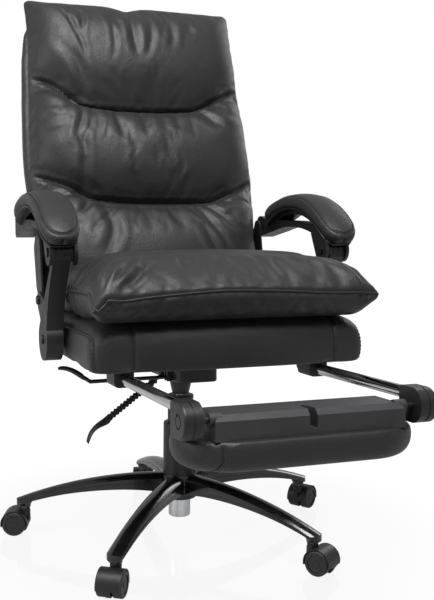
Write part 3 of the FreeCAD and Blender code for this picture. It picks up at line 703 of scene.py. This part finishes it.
class CHAIR_OT_studio(bpy.types.Operator):
    """Sets the camera, the pale floor and the soft lights"""
    bl_idname = "chair.studio"
    bl_label = "Studio"

    def execute(self, context):
        self.camera(context)
        self.floor()
        self.room(context)
        self.lights()
        context.scene.view_settings.view_transform = "Standard"
        return {"FINISHED"}

    def camera(self, context):
        data = bpy.data.cameras.new("camera")
        camera = bpy.data.objects.new("camera", data)
        context.scene.collection.objects.link(camera)
        context.scene.camera = camera
        right = Vector((math.cos(CAMERA_YAW), math.sin(CAMERA_YAW), 0))
        ahead = Vector((-math.sin(CAMERA_YAW), math.cos(CAMERA_YAW), 0))
        rise = Vector((0, 0, 1))
        look = ahead * math.cos(CAMERA_PITCH) - rise * math.sin(CAMERA_PITCH)
        top = rise * math.cos(CAMERA_PITCH) + ahead * math.sin(CAMERA_PITCH)
        side = right * math.cos(CAMERA_ROLL) + top * math.sin(CAMERA_ROLL)
        up = top * math.cos(CAMERA_ROLL) - right * math.sin(CAMERA_ROLL)
        turn = Matrix((side, up, -look)).transposed()
        camera.matrix_world = Matrix.Translation(CAMERA_PLACE) @ turn.to_4x4()
        data.sensor_width = SENSOR_WIDE
        data.lens = FOCAL_PIXELS / PICTURE_HIGH * SENSOR_WIDE
        data.shift_y = SHIFT_PIXELS / PICTURE_HIGH
        data.clip_start = 0.05
        data.clip_end = 60.0

    def floor(self):
        deselect()
        radius = studio().floor_radius
        bpy.ops.mesh.primitive_circle_add(vertices=96, radius=radius, fill_type="NGON", location=(0, 0, 0))
        floor = bpy.context.object
        floor.name = "floor"
        # White acrylic sheet: it keeps a faint mirror image and the object's soft shadow, and fades to white
        # with distance. The camera sees it white, but it gives back little light, so undersides stay dark.
        material, tree, shader, place = new_material("white_acrylic_studio_floor")
        shader.inputs["Base Color"].default_value = colour("#9c9c9c")
        shader.inputs["Roughness"].default_value = 0.6
        path = add_node(tree, "ShaderNodeLightPath").outputs
        away = add_node(tree, "ShaderNodeVectorMath", {"operation": "LENGTH"}, {0: place}).outputs["Value"]
        reflected = reckon(tree, "MULTIPLY", path["Is Glossy Ray"], 0.3)
        seen = reckon(tree, "MAXIMUM", path["Is Camera Ray"], reflected)
        share = reckon(tree, "MULTIPLY", steps(tree, away, WHITE_NEAR, WHITE_FAR, 0.92, 1.0), seen)
        lit = mixed(tree, share, shader.outputs[0], glow(tree, "ShaderNodeEmission", 1.08))
        mirror = add_node(tree, "ShaderNodeBsdfGlossy", {"Color": (1, 1, 1, 1), "Roughness": 0.06}).outputs[0]
        fade = steps(tree, away, MIRROR_NEAR, MIRROR_FAR, 0.10, 0.0)
        polished = mixed(tree, reckon(tree, "MULTIPLY", path["Is Camera Ray"], fade), lit, mirror)
        tree.links.new(polished, tree.nodes["Material Output"].inputs["Surface"])
        floor.data.materials.append(material)

    def room(self, context):
        world = bpy.data.worlds.new("white_room")
        context.scene.world = world
        world.use_nodes = True
        tree = world.node_tree
        tree.nodes.clear()
        path = add_node(tree, "ShaderNodeLightPath").outputs
        lit, mirrored, shown = [glow(tree, "ShaderNodeBackground", strength)
                                for strength in (studio().fill, studio().mirrored, 1.0)]
        inner = mixed(tree, path["Is Glossy Ray"], lit, mirrored)
        seen = reckon(tree, "MAXIMUM", path["Is Camera Ray"], path["Is Transmission Ray"])
        add_node(tree, "ShaderNodeOutputWorld", links={"Surface": mixed(tree, seen, inner, shown)})

    def lights(self):
        sizes = studio()
        self.lamp("key", (-0.6, -1.3, 3.1), (0.0, 0.0, 0.62), (1.8, 1.4), sizes.key_power)
        self.lamp("side", (-2.7, -0.2, 1.3), (0.0, 0.0, 0.6), (0.9, 1.9), sizes.side_power)
        self.lamp("rim", (2.2, 1.3, 1.7), (0.0, 0.0, 0.6), (0.6, 1.8), sizes.rim_power)

    def lamp(self, name, place, target, size, power):
        data = bpy.data.lights.new(name, "AREA")
        data.shape = "RECTANGLE"
        data.size = size[0]
        data.size_y = size[1]
        data.energy = power
        lamp = bpy.data.objects.new(name, data)
        lamp.location = place
        lamp.rotation_euler = (Vector(target) - Vector(place)).to_track_quat("-Z", "Y").to_euler()
        bpy.context.scene.collection.objects.link(lamp)


class CHAIR_OT_hardware(bpy.types.Operator):
    """Gives every hard part of the chair its finish"""
    bl_idname = "chair.hardware"
    bl_label = "Hard parts"

    def execute(self, context):
        plastic = satin_plastic("polypropylene_textured_black", "#111113", "#1c1c1e", 0.42, 0.0011)
        tray = satin_plastic("polypropylene_textured_charcoal", "#29292b", "#353537", 0.5, 0.0013)
        wheel = satin_plastic("nylon_charcoal_moulded", "#18181a", "#262628", 0.46, 0.0009)
        rubber = satin_plastic("rubber_matt_black", "#141415", "#1e1e1f", 0.62, 0.0012)
        steel = painted_steel()
        finish_nodes(gloss_base(), "star_base")
        finish_nodes(chrome(), "gas_cylinder", "gas_piston", *pair("footrest_rail"))
        finish_nodes(plastic, "cover_lower", "cover_upper", "rail_stops", "height_grip", "recline_grip")
        finish_nodes(plastic, *pair("rail_guide"), *pair("upright"), *pair("arm_frame"))
        finish_nodes(plastic, *pair("footrest_bracket"), *five("caster_hood"))
        finish_nodes(tray, "footrest_tray")
        finish_nodes(wheel, *five("caster_wheels"))
        finish_nodes(rubber, "recline_sleeve")
        finish_nodes(steel, "mech_housing", "mech_plate", "height_lever", "recline_lever")
        finish_nodes(steel, *pair("side_link"), *pair("back_bracket"))
        finish_nodes(dark_steel(), "plate_bolts", "hinge_bolts", "footrest_pins", *pair("arm_pin"))
        finish_nodes(zinc_steel(), *five("caster_pins"))
        finish_nodes(stained_plywood(), "seat_board", "back_board")
        return {"FINISHED"}


def millimetres(path):
    """A table's points in metres."""
    return [tuple(value / 1000 for value in point) for point in path]


def folds_of(rows):
    """A table of folds in metres: width, depth and points."""
    return [(width / 1000, depth / 1000, millimetres(path)) for width, depth, path in rows]


# The back's sewn channels and folds in millimetres, as points of X and height along the back. The channels
# run level in the middle and rise to the borders. A fold has its width and depth before its points.
SHOULDER_CHANNEL = millimetres([(-262, 515), (-240, 504), (-215, 491), (-180, 465), (-147, 441),
                                (-90, 433), (-32, 431), (40, 432), (109, 437), (147, 450), (187, 471),
                                (225, 492), (258, 506)])
LUMBAR_CHANNEL = millimetres([(-270, 283), (-231, 264), (-185, 243), (-148, 223), (-100, 215), (-40, 212),
                              (30, 212), (100, 212), (142, 216), (191, 235), (230, 256), (268, 275)])
BACK_FOLDS = folds_of([
    # head
    (4.5, 4.5, [(-188, 672), (-165, 632), (-152, 600), (-140, 565), (-134, 528)]),
    (4, 3.5, [(-166, 676), (-163, 650), (-160, 628)]),
    (4.5, 3.5, [(-137, 668), (-134, 640), (-140, 606), (-139, 580)]),
    (5, 3, [(-86, 668), (-72, 640), (-67, 598), (-70, 556), (-78, 530)]),
    (7.5, 8.5, [(-22, 684), (-22, 650), (-22, 615), (-20, 575), (-14, 545)]),
    (6, 4, [(6, 676), (20, 640), (22, 605), (14, 570), (0, 540)]),
    (7, 3.8, [(58, 676), (70, 640), (72, 600), (64, 566)]),
    (8, 2.6, [(120, 672), (118, 640), (112, 610)]),
    (9, 3, [(-215, 600), (-180, 560), (-150, 520), (-135, 488)]),
    (9, 4, [(-168, 560), (-150, 515), (-142, 480), (-148, 455)]),
    # shoulders, from the channel's left end
    (7, 8, [(-146, 434), (-150, 400), (-160, 372), (-166, 350), (-160, 325)]),
    (6, 7, [(-130, 430), (-128, 402), (-138, 375), (-152, 348), (-156, 320)]),
    (5.5, 5, [(-118, 427), (-114, 400), (-121, 372), (-134, 345)]),
    (7, 4.5, [(-150, 345), (-154, 310), (-157, 275), (-156, 240), (-152, 222)]),
    (8, 4, [(-160, 440), (-190, 428), (-222, 432), (-246, 444)]),
    (9, 4, [(-158, 425), (-186, 404), (-216, 398), (-244, 404)]),
    (11, 3.5, [(-165, 398), (-195, 372), (-225, 362), (-248, 364)]),
    (9, 2.8, [(-70, 426), (-64, 395), (-66, 360), (-72, 330)]),
    (9, 2.8, [(-20, 424), (-12, 392), (-14, 355)]),
    (9, 2.4, [(28, 425), (36, 388), (34, 350)]),
    (8.5, 4, [(118, 434), (142, 414), (166, 396), (186, 384)]),
    (8, 3.5, [(150, 446), (178, 432), (206, 424), (230, 424)]),
    # lumbar, from both ends of its channel
    (7, 6, [(118, 206), (142, 182), (166, 160), (196, 140)]),
    (7.5, 6.5, [(92, 206), (116, 172), (134, 140), (152, 108), (162, 84)]),
    (8, 7, [(100, 160), (114, 125), (126, 98), (142, 72)]),
    (8, 3.5, [(148, 214), (180, 206), (215, 206)]),
    (7, 5.5, [(-150, 216), (-158, 196), (-170, 176)]),
    (8, 7, [(-118, 208), (-110, 172), (-108, 140), (-120, 106), (-134, 80)]),
    (7.5, 5.5, [(-96, 206), (-94, 166), (-96, 130), (-108, 98), (-122, 70)]),
    (9, 2.8, [(-30, 204), (-22, 170), (-20, 130)]),
    (9.5, 2.6, [(40, 204), (50, 165), (52, 125)]),
])


class CHAIR_OT_back_cushion(bpy.types.Operator):
    """Upholsters the front of the back: three puffs between two sewn channels"""
    bl_idname = "chair.back_cushion"
    bl_label = "Back cushion"

    def execute(self, context):
        sizes = upholstery()
        piece = copy_of_node("back_cushion", "back_upholstery")
        reskin(piece, sizes.voxel, 4)
        self.fill(piece)
        subdivide(piece)
        self.sew(piece)
        dress(piece, "back", leather())
        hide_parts("back_cushion")
        return {"FINISHED"}

    def fill(self, piece):
        place = to_back(points_of(piece))
        held = np.zeros(len(place))
        held[place[:, 2] > 0.010] = 1.0
        held[place[:, 1] > 0.682] = 0.9
        front = place[:, 2] < 0.002
        for channel in (SHOULDER_CHANNEL, LUMBAR_CHANNEL):
            gap, _ = nearness(place[:, :2], smooth_path(channel, 0.01))
            held[front & (gap < 0.0065)] = 1.0
        fill_with_foam(piece, held, 0.016, shrink=-0.018)

    def sew(self, piece):
        place = to_back(points_of(piece))
        offsets = np.zeros(len(place))
        front = np.nonzero(place[:, 2] < 0.004)[0]
        flat = place[front, :2]
        moved = np.zeros(len(front))
        for channel in (SHOULDER_CHANNEL, LUMBAR_CHANNEL):
            path = smooth_path(channel, 0.008)
            groove(moved, flat, path, 0.0045, 0.007, shoulder=0.25)
            groove(moved, flat, path, 0.014, 0.006, shoulder=0.1)
        for width, depth, path in BACK_FOLDS:
            deep = upholstery().folds * depth
            groove(moved, flat, smooth_path(path, 0.006), 1.15 * width, deep, shoulder=0.35, taper=True)
        fade = np.clip((0.004 - place[front, 2]) / 0.02, 0, 1)
        offsets[front] = moved * fade
        press(piece, offsets)
        place = to_back(points_of(piece))
        rise = self.top_rise(place) - self.overhang(place)
        up = np.array(on_back(0, 1, 0) - on_back(0, 0, 0))
        move_points(piece, points_of(piece) + rise[:, None] * up)
        pull(piece, on_back(-0.258, 0.700, 0.004), (-0.016, 0.0, 0.008), 0.018)
        pull(piece, on_back(0.258, 0.696, 0.004), (0.008, 0.0, 0.006), 0.016)

    def overhang(self, place):
        """How far the puff above a channel hangs over it."""
        drop = np.zeros(len(place))
        for channel, reach in ((SHOULDER_CHANNEL, 0.008), (LUMBAR_CHANNEL, 0.005)):
            level = np.interp(place[:, 0], [x for x, s in channel], [s for x, s in channel])
            above = place[:, 1] - level
            middle = np.exp(-(place[:, 0] / 0.17) ** 4)
            share = np.where(above > 0, np.exp(-((above - 0.008) / 0.016) ** 2), 0)
            drop += reach * share * (0.35 + 0.65 * middle) * np.clip((0.002 - place[:, 2]) / 0.02, 0, 1)
        return drop

    def top_rise(self, place):
        """How far the top edge rises at its pulled corners and dips at the middle pleat."""
        near_top = np.clip((place[:, 1] - 0.60) / 0.09, 0, 1) ** 2
        corner = np.exp(-((np.abs(place[:, 0]) - 0.245) / 0.035) ** 2)
        dip = np.exp(-((place[:, 0] + 0.022) / 0.030) ** 2)
        return near_top * (0.012 * corner - 0.010 * dip)


class CHAIR_OT_back_shell(bpy.types.Operator):
    """Upholsters the rear of the back, with a stitched edge down each side"""
    bl_idname = "chair.back_shell"
    bl_label = "Rear of the back"

    def execute(self, context):
        piece = copy_of_node("back_shell", "back_rear_upholstery")
        reskin(piece, upholstery().voxel, 4)
        subdivide(piece)
        skin = tree_of(piece)
        heights = (-0.010, 0.10, 0.25, 0.40, 0.52, 0.60, 0.636)
        rims = [laid_on(skin, [on_back(side * 0.28, s, 0.034) for s in heights], 0.0) for side in (-1, 1)]
        seams = [laid_on(skin, [on_back(side * 0.28, s, 0.044) for s in heights], 0.0) for side in (-1, 1)]
        panel = [(-0.205, 0.0), (-0.222, 0.05), (-0.228, 0.30), (-0.222, 0.56), (-0.200, 0.615), (0.0, 0.622),
                 (0.200, 0.615), (0.222, 0.56), (0.228, 0.30), (0.222, 0.05), (0.205, 0.0)]
        border = laid_on(skin, [on_back(x, s, 0.12) for x, s in panel], 0.0)
        sew_seams(piece, [*seams, border], 0.0035, 0.0035)
        skin = tree_of(piece)
        rows = [laid_on(skin, rim, 0.0003) for rim in rims]
        dress(piece, "back", leather())
        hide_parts("back_shell")
        dress(stitches("back_edge_stitches", rows), "back", grey_thread())
        return {"FINISHED"}


# The loose cushion's piping along its front, in millimetres of the level drawing: X and height. It droops at
# the left corner.
PILLOW_FRONT = -0.346
PILLOW_MIDDLE = (0.236, -0.316, 0.058)
PILLOW_SEAM = 0.536
PIPING_FRONT = millimetres([(-268, 511), (-260, 516), (-252, 522), (-245, 529), (-217, 527), (-172, 532),
                            (-77, 539), (-14, 541), (84, 538), (169, 533), (232, 532), (262, 530)])
# Folds of the loose cushion in millimetres: width, depth and points in X and Y of the level drawing.
PILLOW_FOLDS = folds_of([
    # out of the left corner
    (5, 4.8, [(-252, -338), (-240, -322), (-226, -300), (-214, -272)]),
    (5.5, 5, [(-243, -342), (-226, -330), (-204, -308), (-186, -280), (-172, -250)]),
    (6, 3.8, [(-232, -344), (-208, -334), (-180, -316), (-150, -292)]),
    (7, 3.6, [(-258, -325), (-252, -295), (-244, -262), (-238, -225)]),
    # soft creases behind the front piping
    (9, 1.6, [(-78, -338), (-70, -318), (-58, -290), (-52, -255)]),
    (8, 1.8, [(-44, -338), (-40, -318), (-30, -292), (-26, -262)]),
    (9, 1.7, [(28, -338), (26, -318), (30, -292), (40, -262)]),
    (7.5, 2.2, [(66, -340), (60, -320), (56, -296), (52, -268), (44, -235)]),
    (8.5, 1.8, [(100, -340), (96, -318), (88, -290)]),
    (10, 1.8, [(150, -340), (152, -316), (160, -286), (172, -250)]),
    # out of the right corner
    (5, 4.5, [(248, -342), (240, -326), (228, -306), (212, -284)]),
    (6, 3.5, [(256, -330), (252, -302), (246, -270)]),
])
# Tucks below the piping in millimetres: width, depth and points in X and height.
PILLOW_TUCKS = folds_of([
    (4, 4.5, [(236, 530), (236, 520), (232, 508)]),
    (3.8, 4, [(245, 530), (246, 521), (243, 512)]),
    (4.5, 4, [(-246, 524), (-238, 514), (-226, 505)]),
    (9, 2.5, [(-145, 528), (-152, 514), (-164, 500)]),
    (10, 2.2, [(-100, 530), (-108, 514), (-122, 500)]),
])


class CHAIR_OT_seat_pillow(bpy.types.Operator):
    """Upholsters the loose top cushion: two panels that meet at a piped seam, with pulled corners"""
    bl_idname = "chair.seat_pillow"
    bl_label = "Loose seat cushion"

    def execute(self, context):
        sizes = upholstery()
        piece = copy_of_node("seat_cushion_top", "seat_pillow")
        reskin(piece, sizes.voxel, 3)
        self.fill(piece)
        subdivide(piece)
        self.shape(piece)
        self.sew(piece)
        dress(piece, "seat", leather())
        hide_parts("seat_cushion_top")
        line = cast_on(tree_of(piece), self.seam(), PILLOW_MIDDLE, 0.0006, 0.008)
        welt = piping("seat_pillow_piping", line, 0.0021)
        dress(welt, "seat", leather())
        return {"FINISHED"}

    def seam(self):
        """The piped seam: along the front from the left corner, and round both sides and the rear."""
        front = [tilted(x, PILLOW_FRONT - 0.004, z) for x, z in PIPING_FRONT]
        corner = [tilted(0.280, -0.349, 0.528), tilted(0.293, -0.350, 0.528), tilted(0.281, -0.338, 0.530)]
        right = [tilted(0.272, y, 0.537) for y in (-0.31, -0.22, -0.08, 0.03)]
        rear = [tilted(x, 0.092, 0.541) for x in (0.225, 0.1, -0.1, -0.225)]
        left = [tilted(-0.272, y, 0.537) for y in (0.03, -0.08, -0.22, -0.29)]
        return front + corner + right + rear + left + [tilted(-0.275, -0.325, 0.524), front[0]]

    def fill(self, piece):
        place = to_level(points_of(piece))
        held = np.zeros(len(place))
        edge = np.minimum(0.267 - np.abs(place[:, 0]), np.minimum(place[:, 1] + 0.346, 0.088 - place[:, 1]))
        held[(np.abs(place[:, 2] - PILLOW_SEAM - 0.002) < 0.006) & (edge < 0.012)] = 1.0
        held[place[:, 2] < 0.4885] = 1.0
        fill_with_foam(piece, held, 0.010, pressure=3.0, shrink=-0.02)

    def shape(self, piece):
        """Bends the seam to its photographed line, and draws out the corners."""
        points = points_of(piece)
        place = to_level(points)
        seam_x = [x for x, z in PIPING_FRONT]
        drop = np.interp(place[:, 0], seam_x, [z - PILLOW_SEAM for x, z in PIPING_FRONT])
        ahead = np.exp(-np.clip(place[:, 1] - PILLOW_FRONT, 0, 1) / 0.030)
        near = np.exp(-((place[:, 2] - PILLOW_SEAM) / 0.028) ** 2)
        up = np.array(tilted(0, 0, 1) - tilted(0, 0, 0))
        move_points(piece, points + (drop * ahead * near)[:, None] * up)
        pull(piece, tilted(0.266, -0.346, 0.531), (0.019, -0.003, -0.003), 0.016)
        pull(piece, tilted(-0.266, -0.346, 0.512), (-0.012, -0.004, -0.004), 0.015)
        pull(piece, tilted(0.250, 0.088, 0.541), (0.008, 0.004, 0.0), 0.015)
        pull(piece, tilted(-0.250, 0.088, 0.541), (-0.008, 0.004, 0.0), 0.015)

    def sew(self, piece):
        skin = tree_of(piece)
        folds = [(w, d, dropped(skin, path)) for w, d, path in PILLOW_FOLDS]
        tucks = [(w, d, laid_on(skin, [tilted(x, -0.36, z) for x, z in path], 0.0))
                 for w, d, path in PILLOW_TUCKS]
        points = points_of(piece)
        offsets = np.zeros(len(points))
        for width, depth, path in folds + tucks:
            groove(offsets, points, path, width, depth, shoulder=0.4, taper=True)
        groove(offsets, points, cast_on(skin, self.seam(), PILLOW_MIDDLE, 0.0), 0.0055, 0.0030, shoulder=0.2)
        press(piece, offsets)


class CHAIR_OT_seat(bpy.types.Operator):
    """Upholsters the boxy seat: a front panel between two seams, and double-stitched side panels"""
    bl_idname = "chair.seat"
    bl_label = "Seat"

    def execute(self, context):
        piece = copy_of_node("seat_cushion_lower", "seat_upholstery")
        reskin(piece, upholstery().voxel, 4)
        subdivide(piece)
        skin = tree_of(piece)
        fronts = [laid_on(skin, self.front_seam(x), 0.0) for x in (-0.192, 0.199)]
        sides = [laid_on(skin, self.side_seam(side, 0.0), 0.0) for side in (-1, 1)]
        sew_seams(piece, fronts + sides, 0.0034, 0.0026)
        skin = tree_of(piece)
        lines = [laid_on(skin, path, 0.0003) for path in fronts + sides]
        rows = [laid_on(skin, self.side_seam(side, gap), 0.0004)
                for side in (-1, 1) for gap in (-0.0045, 0.0055)]
        dress(piece, "seat", leather())
        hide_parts("seat_cushion_lower")
        # The dark tubes in the seams are partly real thread and partly painted shade of the seams.
        dress(seam_shade_lines("seat_seam_shade_lines", lines, 0.0009), "seat", black_thread())
        dress(stitches("seat_side_stitches", rows), "seat", black_thread())
        return {"FINISHED"}

    def front_seam(self, x):
        """Up the front face and over its top edge, under the loose cushion."""
        rise = millimetres([(-325, 396), (-340, 410), (-340, 435), (-338, 458), (-325, 482), (-300, 492),
                            (-270, 495)])
        return [tilted(x, y, z) for y, z in rise]

    def side_seam(self, side, gap):
        """Up the front corner and back along the top of the side face. gap moves it inwards on the panel."""
        rise = millimetres([(262, -312, 399), (264, -310, 430), (264, -306, 450), (262, -293, 464),
                            (260, -270, 470), (258, -200, 471), (254, -60, 470), (252, 80, 468)])
        path = []
        for k, (x, y, z) in enumerate(rise):
            share = min(k / 4, 1)
            path.append(tilted(side * (x + 0.01), y + gap * (1 - share), z - gap * share))
        return path


class CHAIR_OT_footrest_pad(bpy.types.Operator):
    """Upholsters the footrest's pad, whose cover is closed by a seam near one end"""
    bl_idname = "chair.footrest_pad"
    bl_label = "Footrest pad"

    def execute(self, context):
        piece = copy_of_node("footrest_pad", "footrest_upholstery")
        reskin(piece, 0.005, 4)
        subdivide(piece)
        skin = tree_of(piece)
        wrap = millimetres([(-650, 333), (-652, 318), (-648, 298), (-628, 284), (-590, 276), (-540, 275),
                            (-490, 278), (-458, 292), (-450, 312), (-450, 332)])
        seam = laid_on(skin, [tilted(-0.159, y, z) for y, z in wrap], 0.0)
        sew_seams(piece, [seam], 0.0028, 0.0026)
        skin = tree_of(piece)
        line = laid_on(skin, seam, 0.0003)
        row = laid_on(skin, [tilted(-0.1545, y, z) for y, z in wrap], 0.0003)
        dress(piece, "footrest_flap", leather())
        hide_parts("footrest_pad")
        # The dark tube in the seam is partly real thread and partly painted shade of the seam.
        dress(seam_shade_lines("footrest_seam_shade_line", [line], 0.0008), "footrest_flap", black_thread())
        dress(stitches("footrest_stitches", [row]), "footrest_flap", black_thread())
        return {"FINISHED"}


# The armrest's arch in the level drawing: two arcs that meet at its crest.
ARCH_CENTRE = 0.285
ARCH_CREST = 0.729
ARCH_FRONT = 0.260
ARCH_REAR = 0.350


def on_arch(side, across, angle, depth):
    """A point on the armrest's arch: across from its middle, at an angle from its crest, at a depth below."""
    radius = ARCH_REAR if angle > 0 else ARCH_FRONT
    turn = math.radians(angle)
    reach = radius - depth
    x = side * (ARCH_CENTRE + across)
    return tilted(x, reach * math.sin(turn), ARCH_CREST - radius + reach * math.cos(turn))


class CHAIR_OT_arm_pads(bpy.types.Operator):
    """Upholsters the two armrests: a top panel sewn to a side band that closes at the front"""
    bl_idname = "chair.arm_pads"
    bl_label = "Armrests"

    def execute(self, context):
        for side, name, body in ((1, "left", "arm_l"), (-1, "right", "arm_r")):
            piece = copy_of_node("arm_pad_" + name, "arm_upholstery_" + name)
            reskin(piece, 0.004, 4)
            subdivide(piece)
            skin = tree_of(piece)
            panel = laid_on(skin, self.round_panel(side, 0.0350, 0.0), 0.0, 0.004)
            middle = [on_arch(side, 0.0, -53, depth) for depth in (0.008, 0.016, 0.025)]
            front = laid_on(skin, middle, 0.0, 0.003)
            sew_seams(piece, [panel, front], 0.0024, 0.0026)
            skin = tree_of(piece)
            lines = [laid_on(skin, path, 0.0004, 0.004) for path in (panel, front)]
            row = laid_on(skin, self.round_panel(side, 0.0290, -0.004), 0.0003, 0.004)
            dress(piece, body, leather())
            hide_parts("arm_pad_" + name)
            # The dark tubes in the seams are partly real thread and partly painted shade of the seams.
            dress(seam_shade_lines("arm_seam_shade_line_" + name, lines, 0.0009), body, black_thread())
            dress(stitches("arm_stitches_" + name, [row]), body, black_thread())
        return {"FINISHED"}

    def round_panel(self, side, half, depth):
        """Along one long side of the top panel, round its front end and back along the other."""
        angles = (24, 16, 8, 0, -10, -20, -30, -37)
        near = [on_arch(side, half, angle, depth) for angle in angles]
        bend = ((0.90, -41), (0.70, -44.8), (0.38, -47), (0.0, -47.8),
                (-0.38, -47), (-0.70, -44.8), (-0.90, -41))
        tip = [on_arch(side, half * across, angle, depth + 0.002) for across, angle in bend]
        far = [on_arch(side, -half, angle, depth) for angle in reversed(angles)]
        return near + tip + far


class CHAIR_PT_panel(bpy.types.Panel):
    """Lists the chair's groups of pieces"""
    bl_idname = "CHAIR_PT_panel"
    bl_label = "Chair"
    bl_space_type = "VIEW_3D"
    bl_region_type = "UI"
    bl_category = "Chair"

    def draw(self, context):
        for operator in OPERATORS:
            self.layout.operator(operator.bl_idname)


OPERATORS = (
    CHAIR_OT_hardware,
    CHAIR_OT_back_cushion,
    CHAIR_OT_back_shell,
    CHAIR_OT_seat,
    CHAIR_OT_seat_pillow,
    CHAIR_OT_footrest_pad,
    CHAIR_OT_arm_pads,
    CHAIR_OT_studio,
)
GROUPS = {
    "chair_studio": StudioSettings,
    "chair_leather": LeatherSettings,
    "chair_upholstery": UpholsterySettings,
}


def register():
    for name, group in GROUPS.items():
        bpy.utils.register_class(group)
        setattr(bpy.types.Scene, name, PointerProperty(type=group))
    for operator in OPERATORS:
        bpy.utils.register_class(operator)
    bpy.utils.register_class(CHAIR_PT_panel)


def unregister():
    bpy.utils.unregister_class(CHAIR_PT_panel)
    for operator in reversed(OPERATORS):
        bpy.utils.unregister_class(operator)
    for name, group in reversed(GROUPS.items()):
        delattr(bpy.types.Scene, name)
        bpy.utils.unregister_class(group)


def main():
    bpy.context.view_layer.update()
    register()
    bpy.ops.chair.hardware()
    bpy.ops.chair.back_cushion()
    bpy.ops.chair.back_shell()
    bpy.ops.chair.seat()
    bpy.ops.chair.seat_pillow()
    bpy.ops.chair.footrest_pad()
    bpy.ops.chair.arm_pads()
    bpy.ops.chair.studio()


if __name__ == "__main__":
    main()
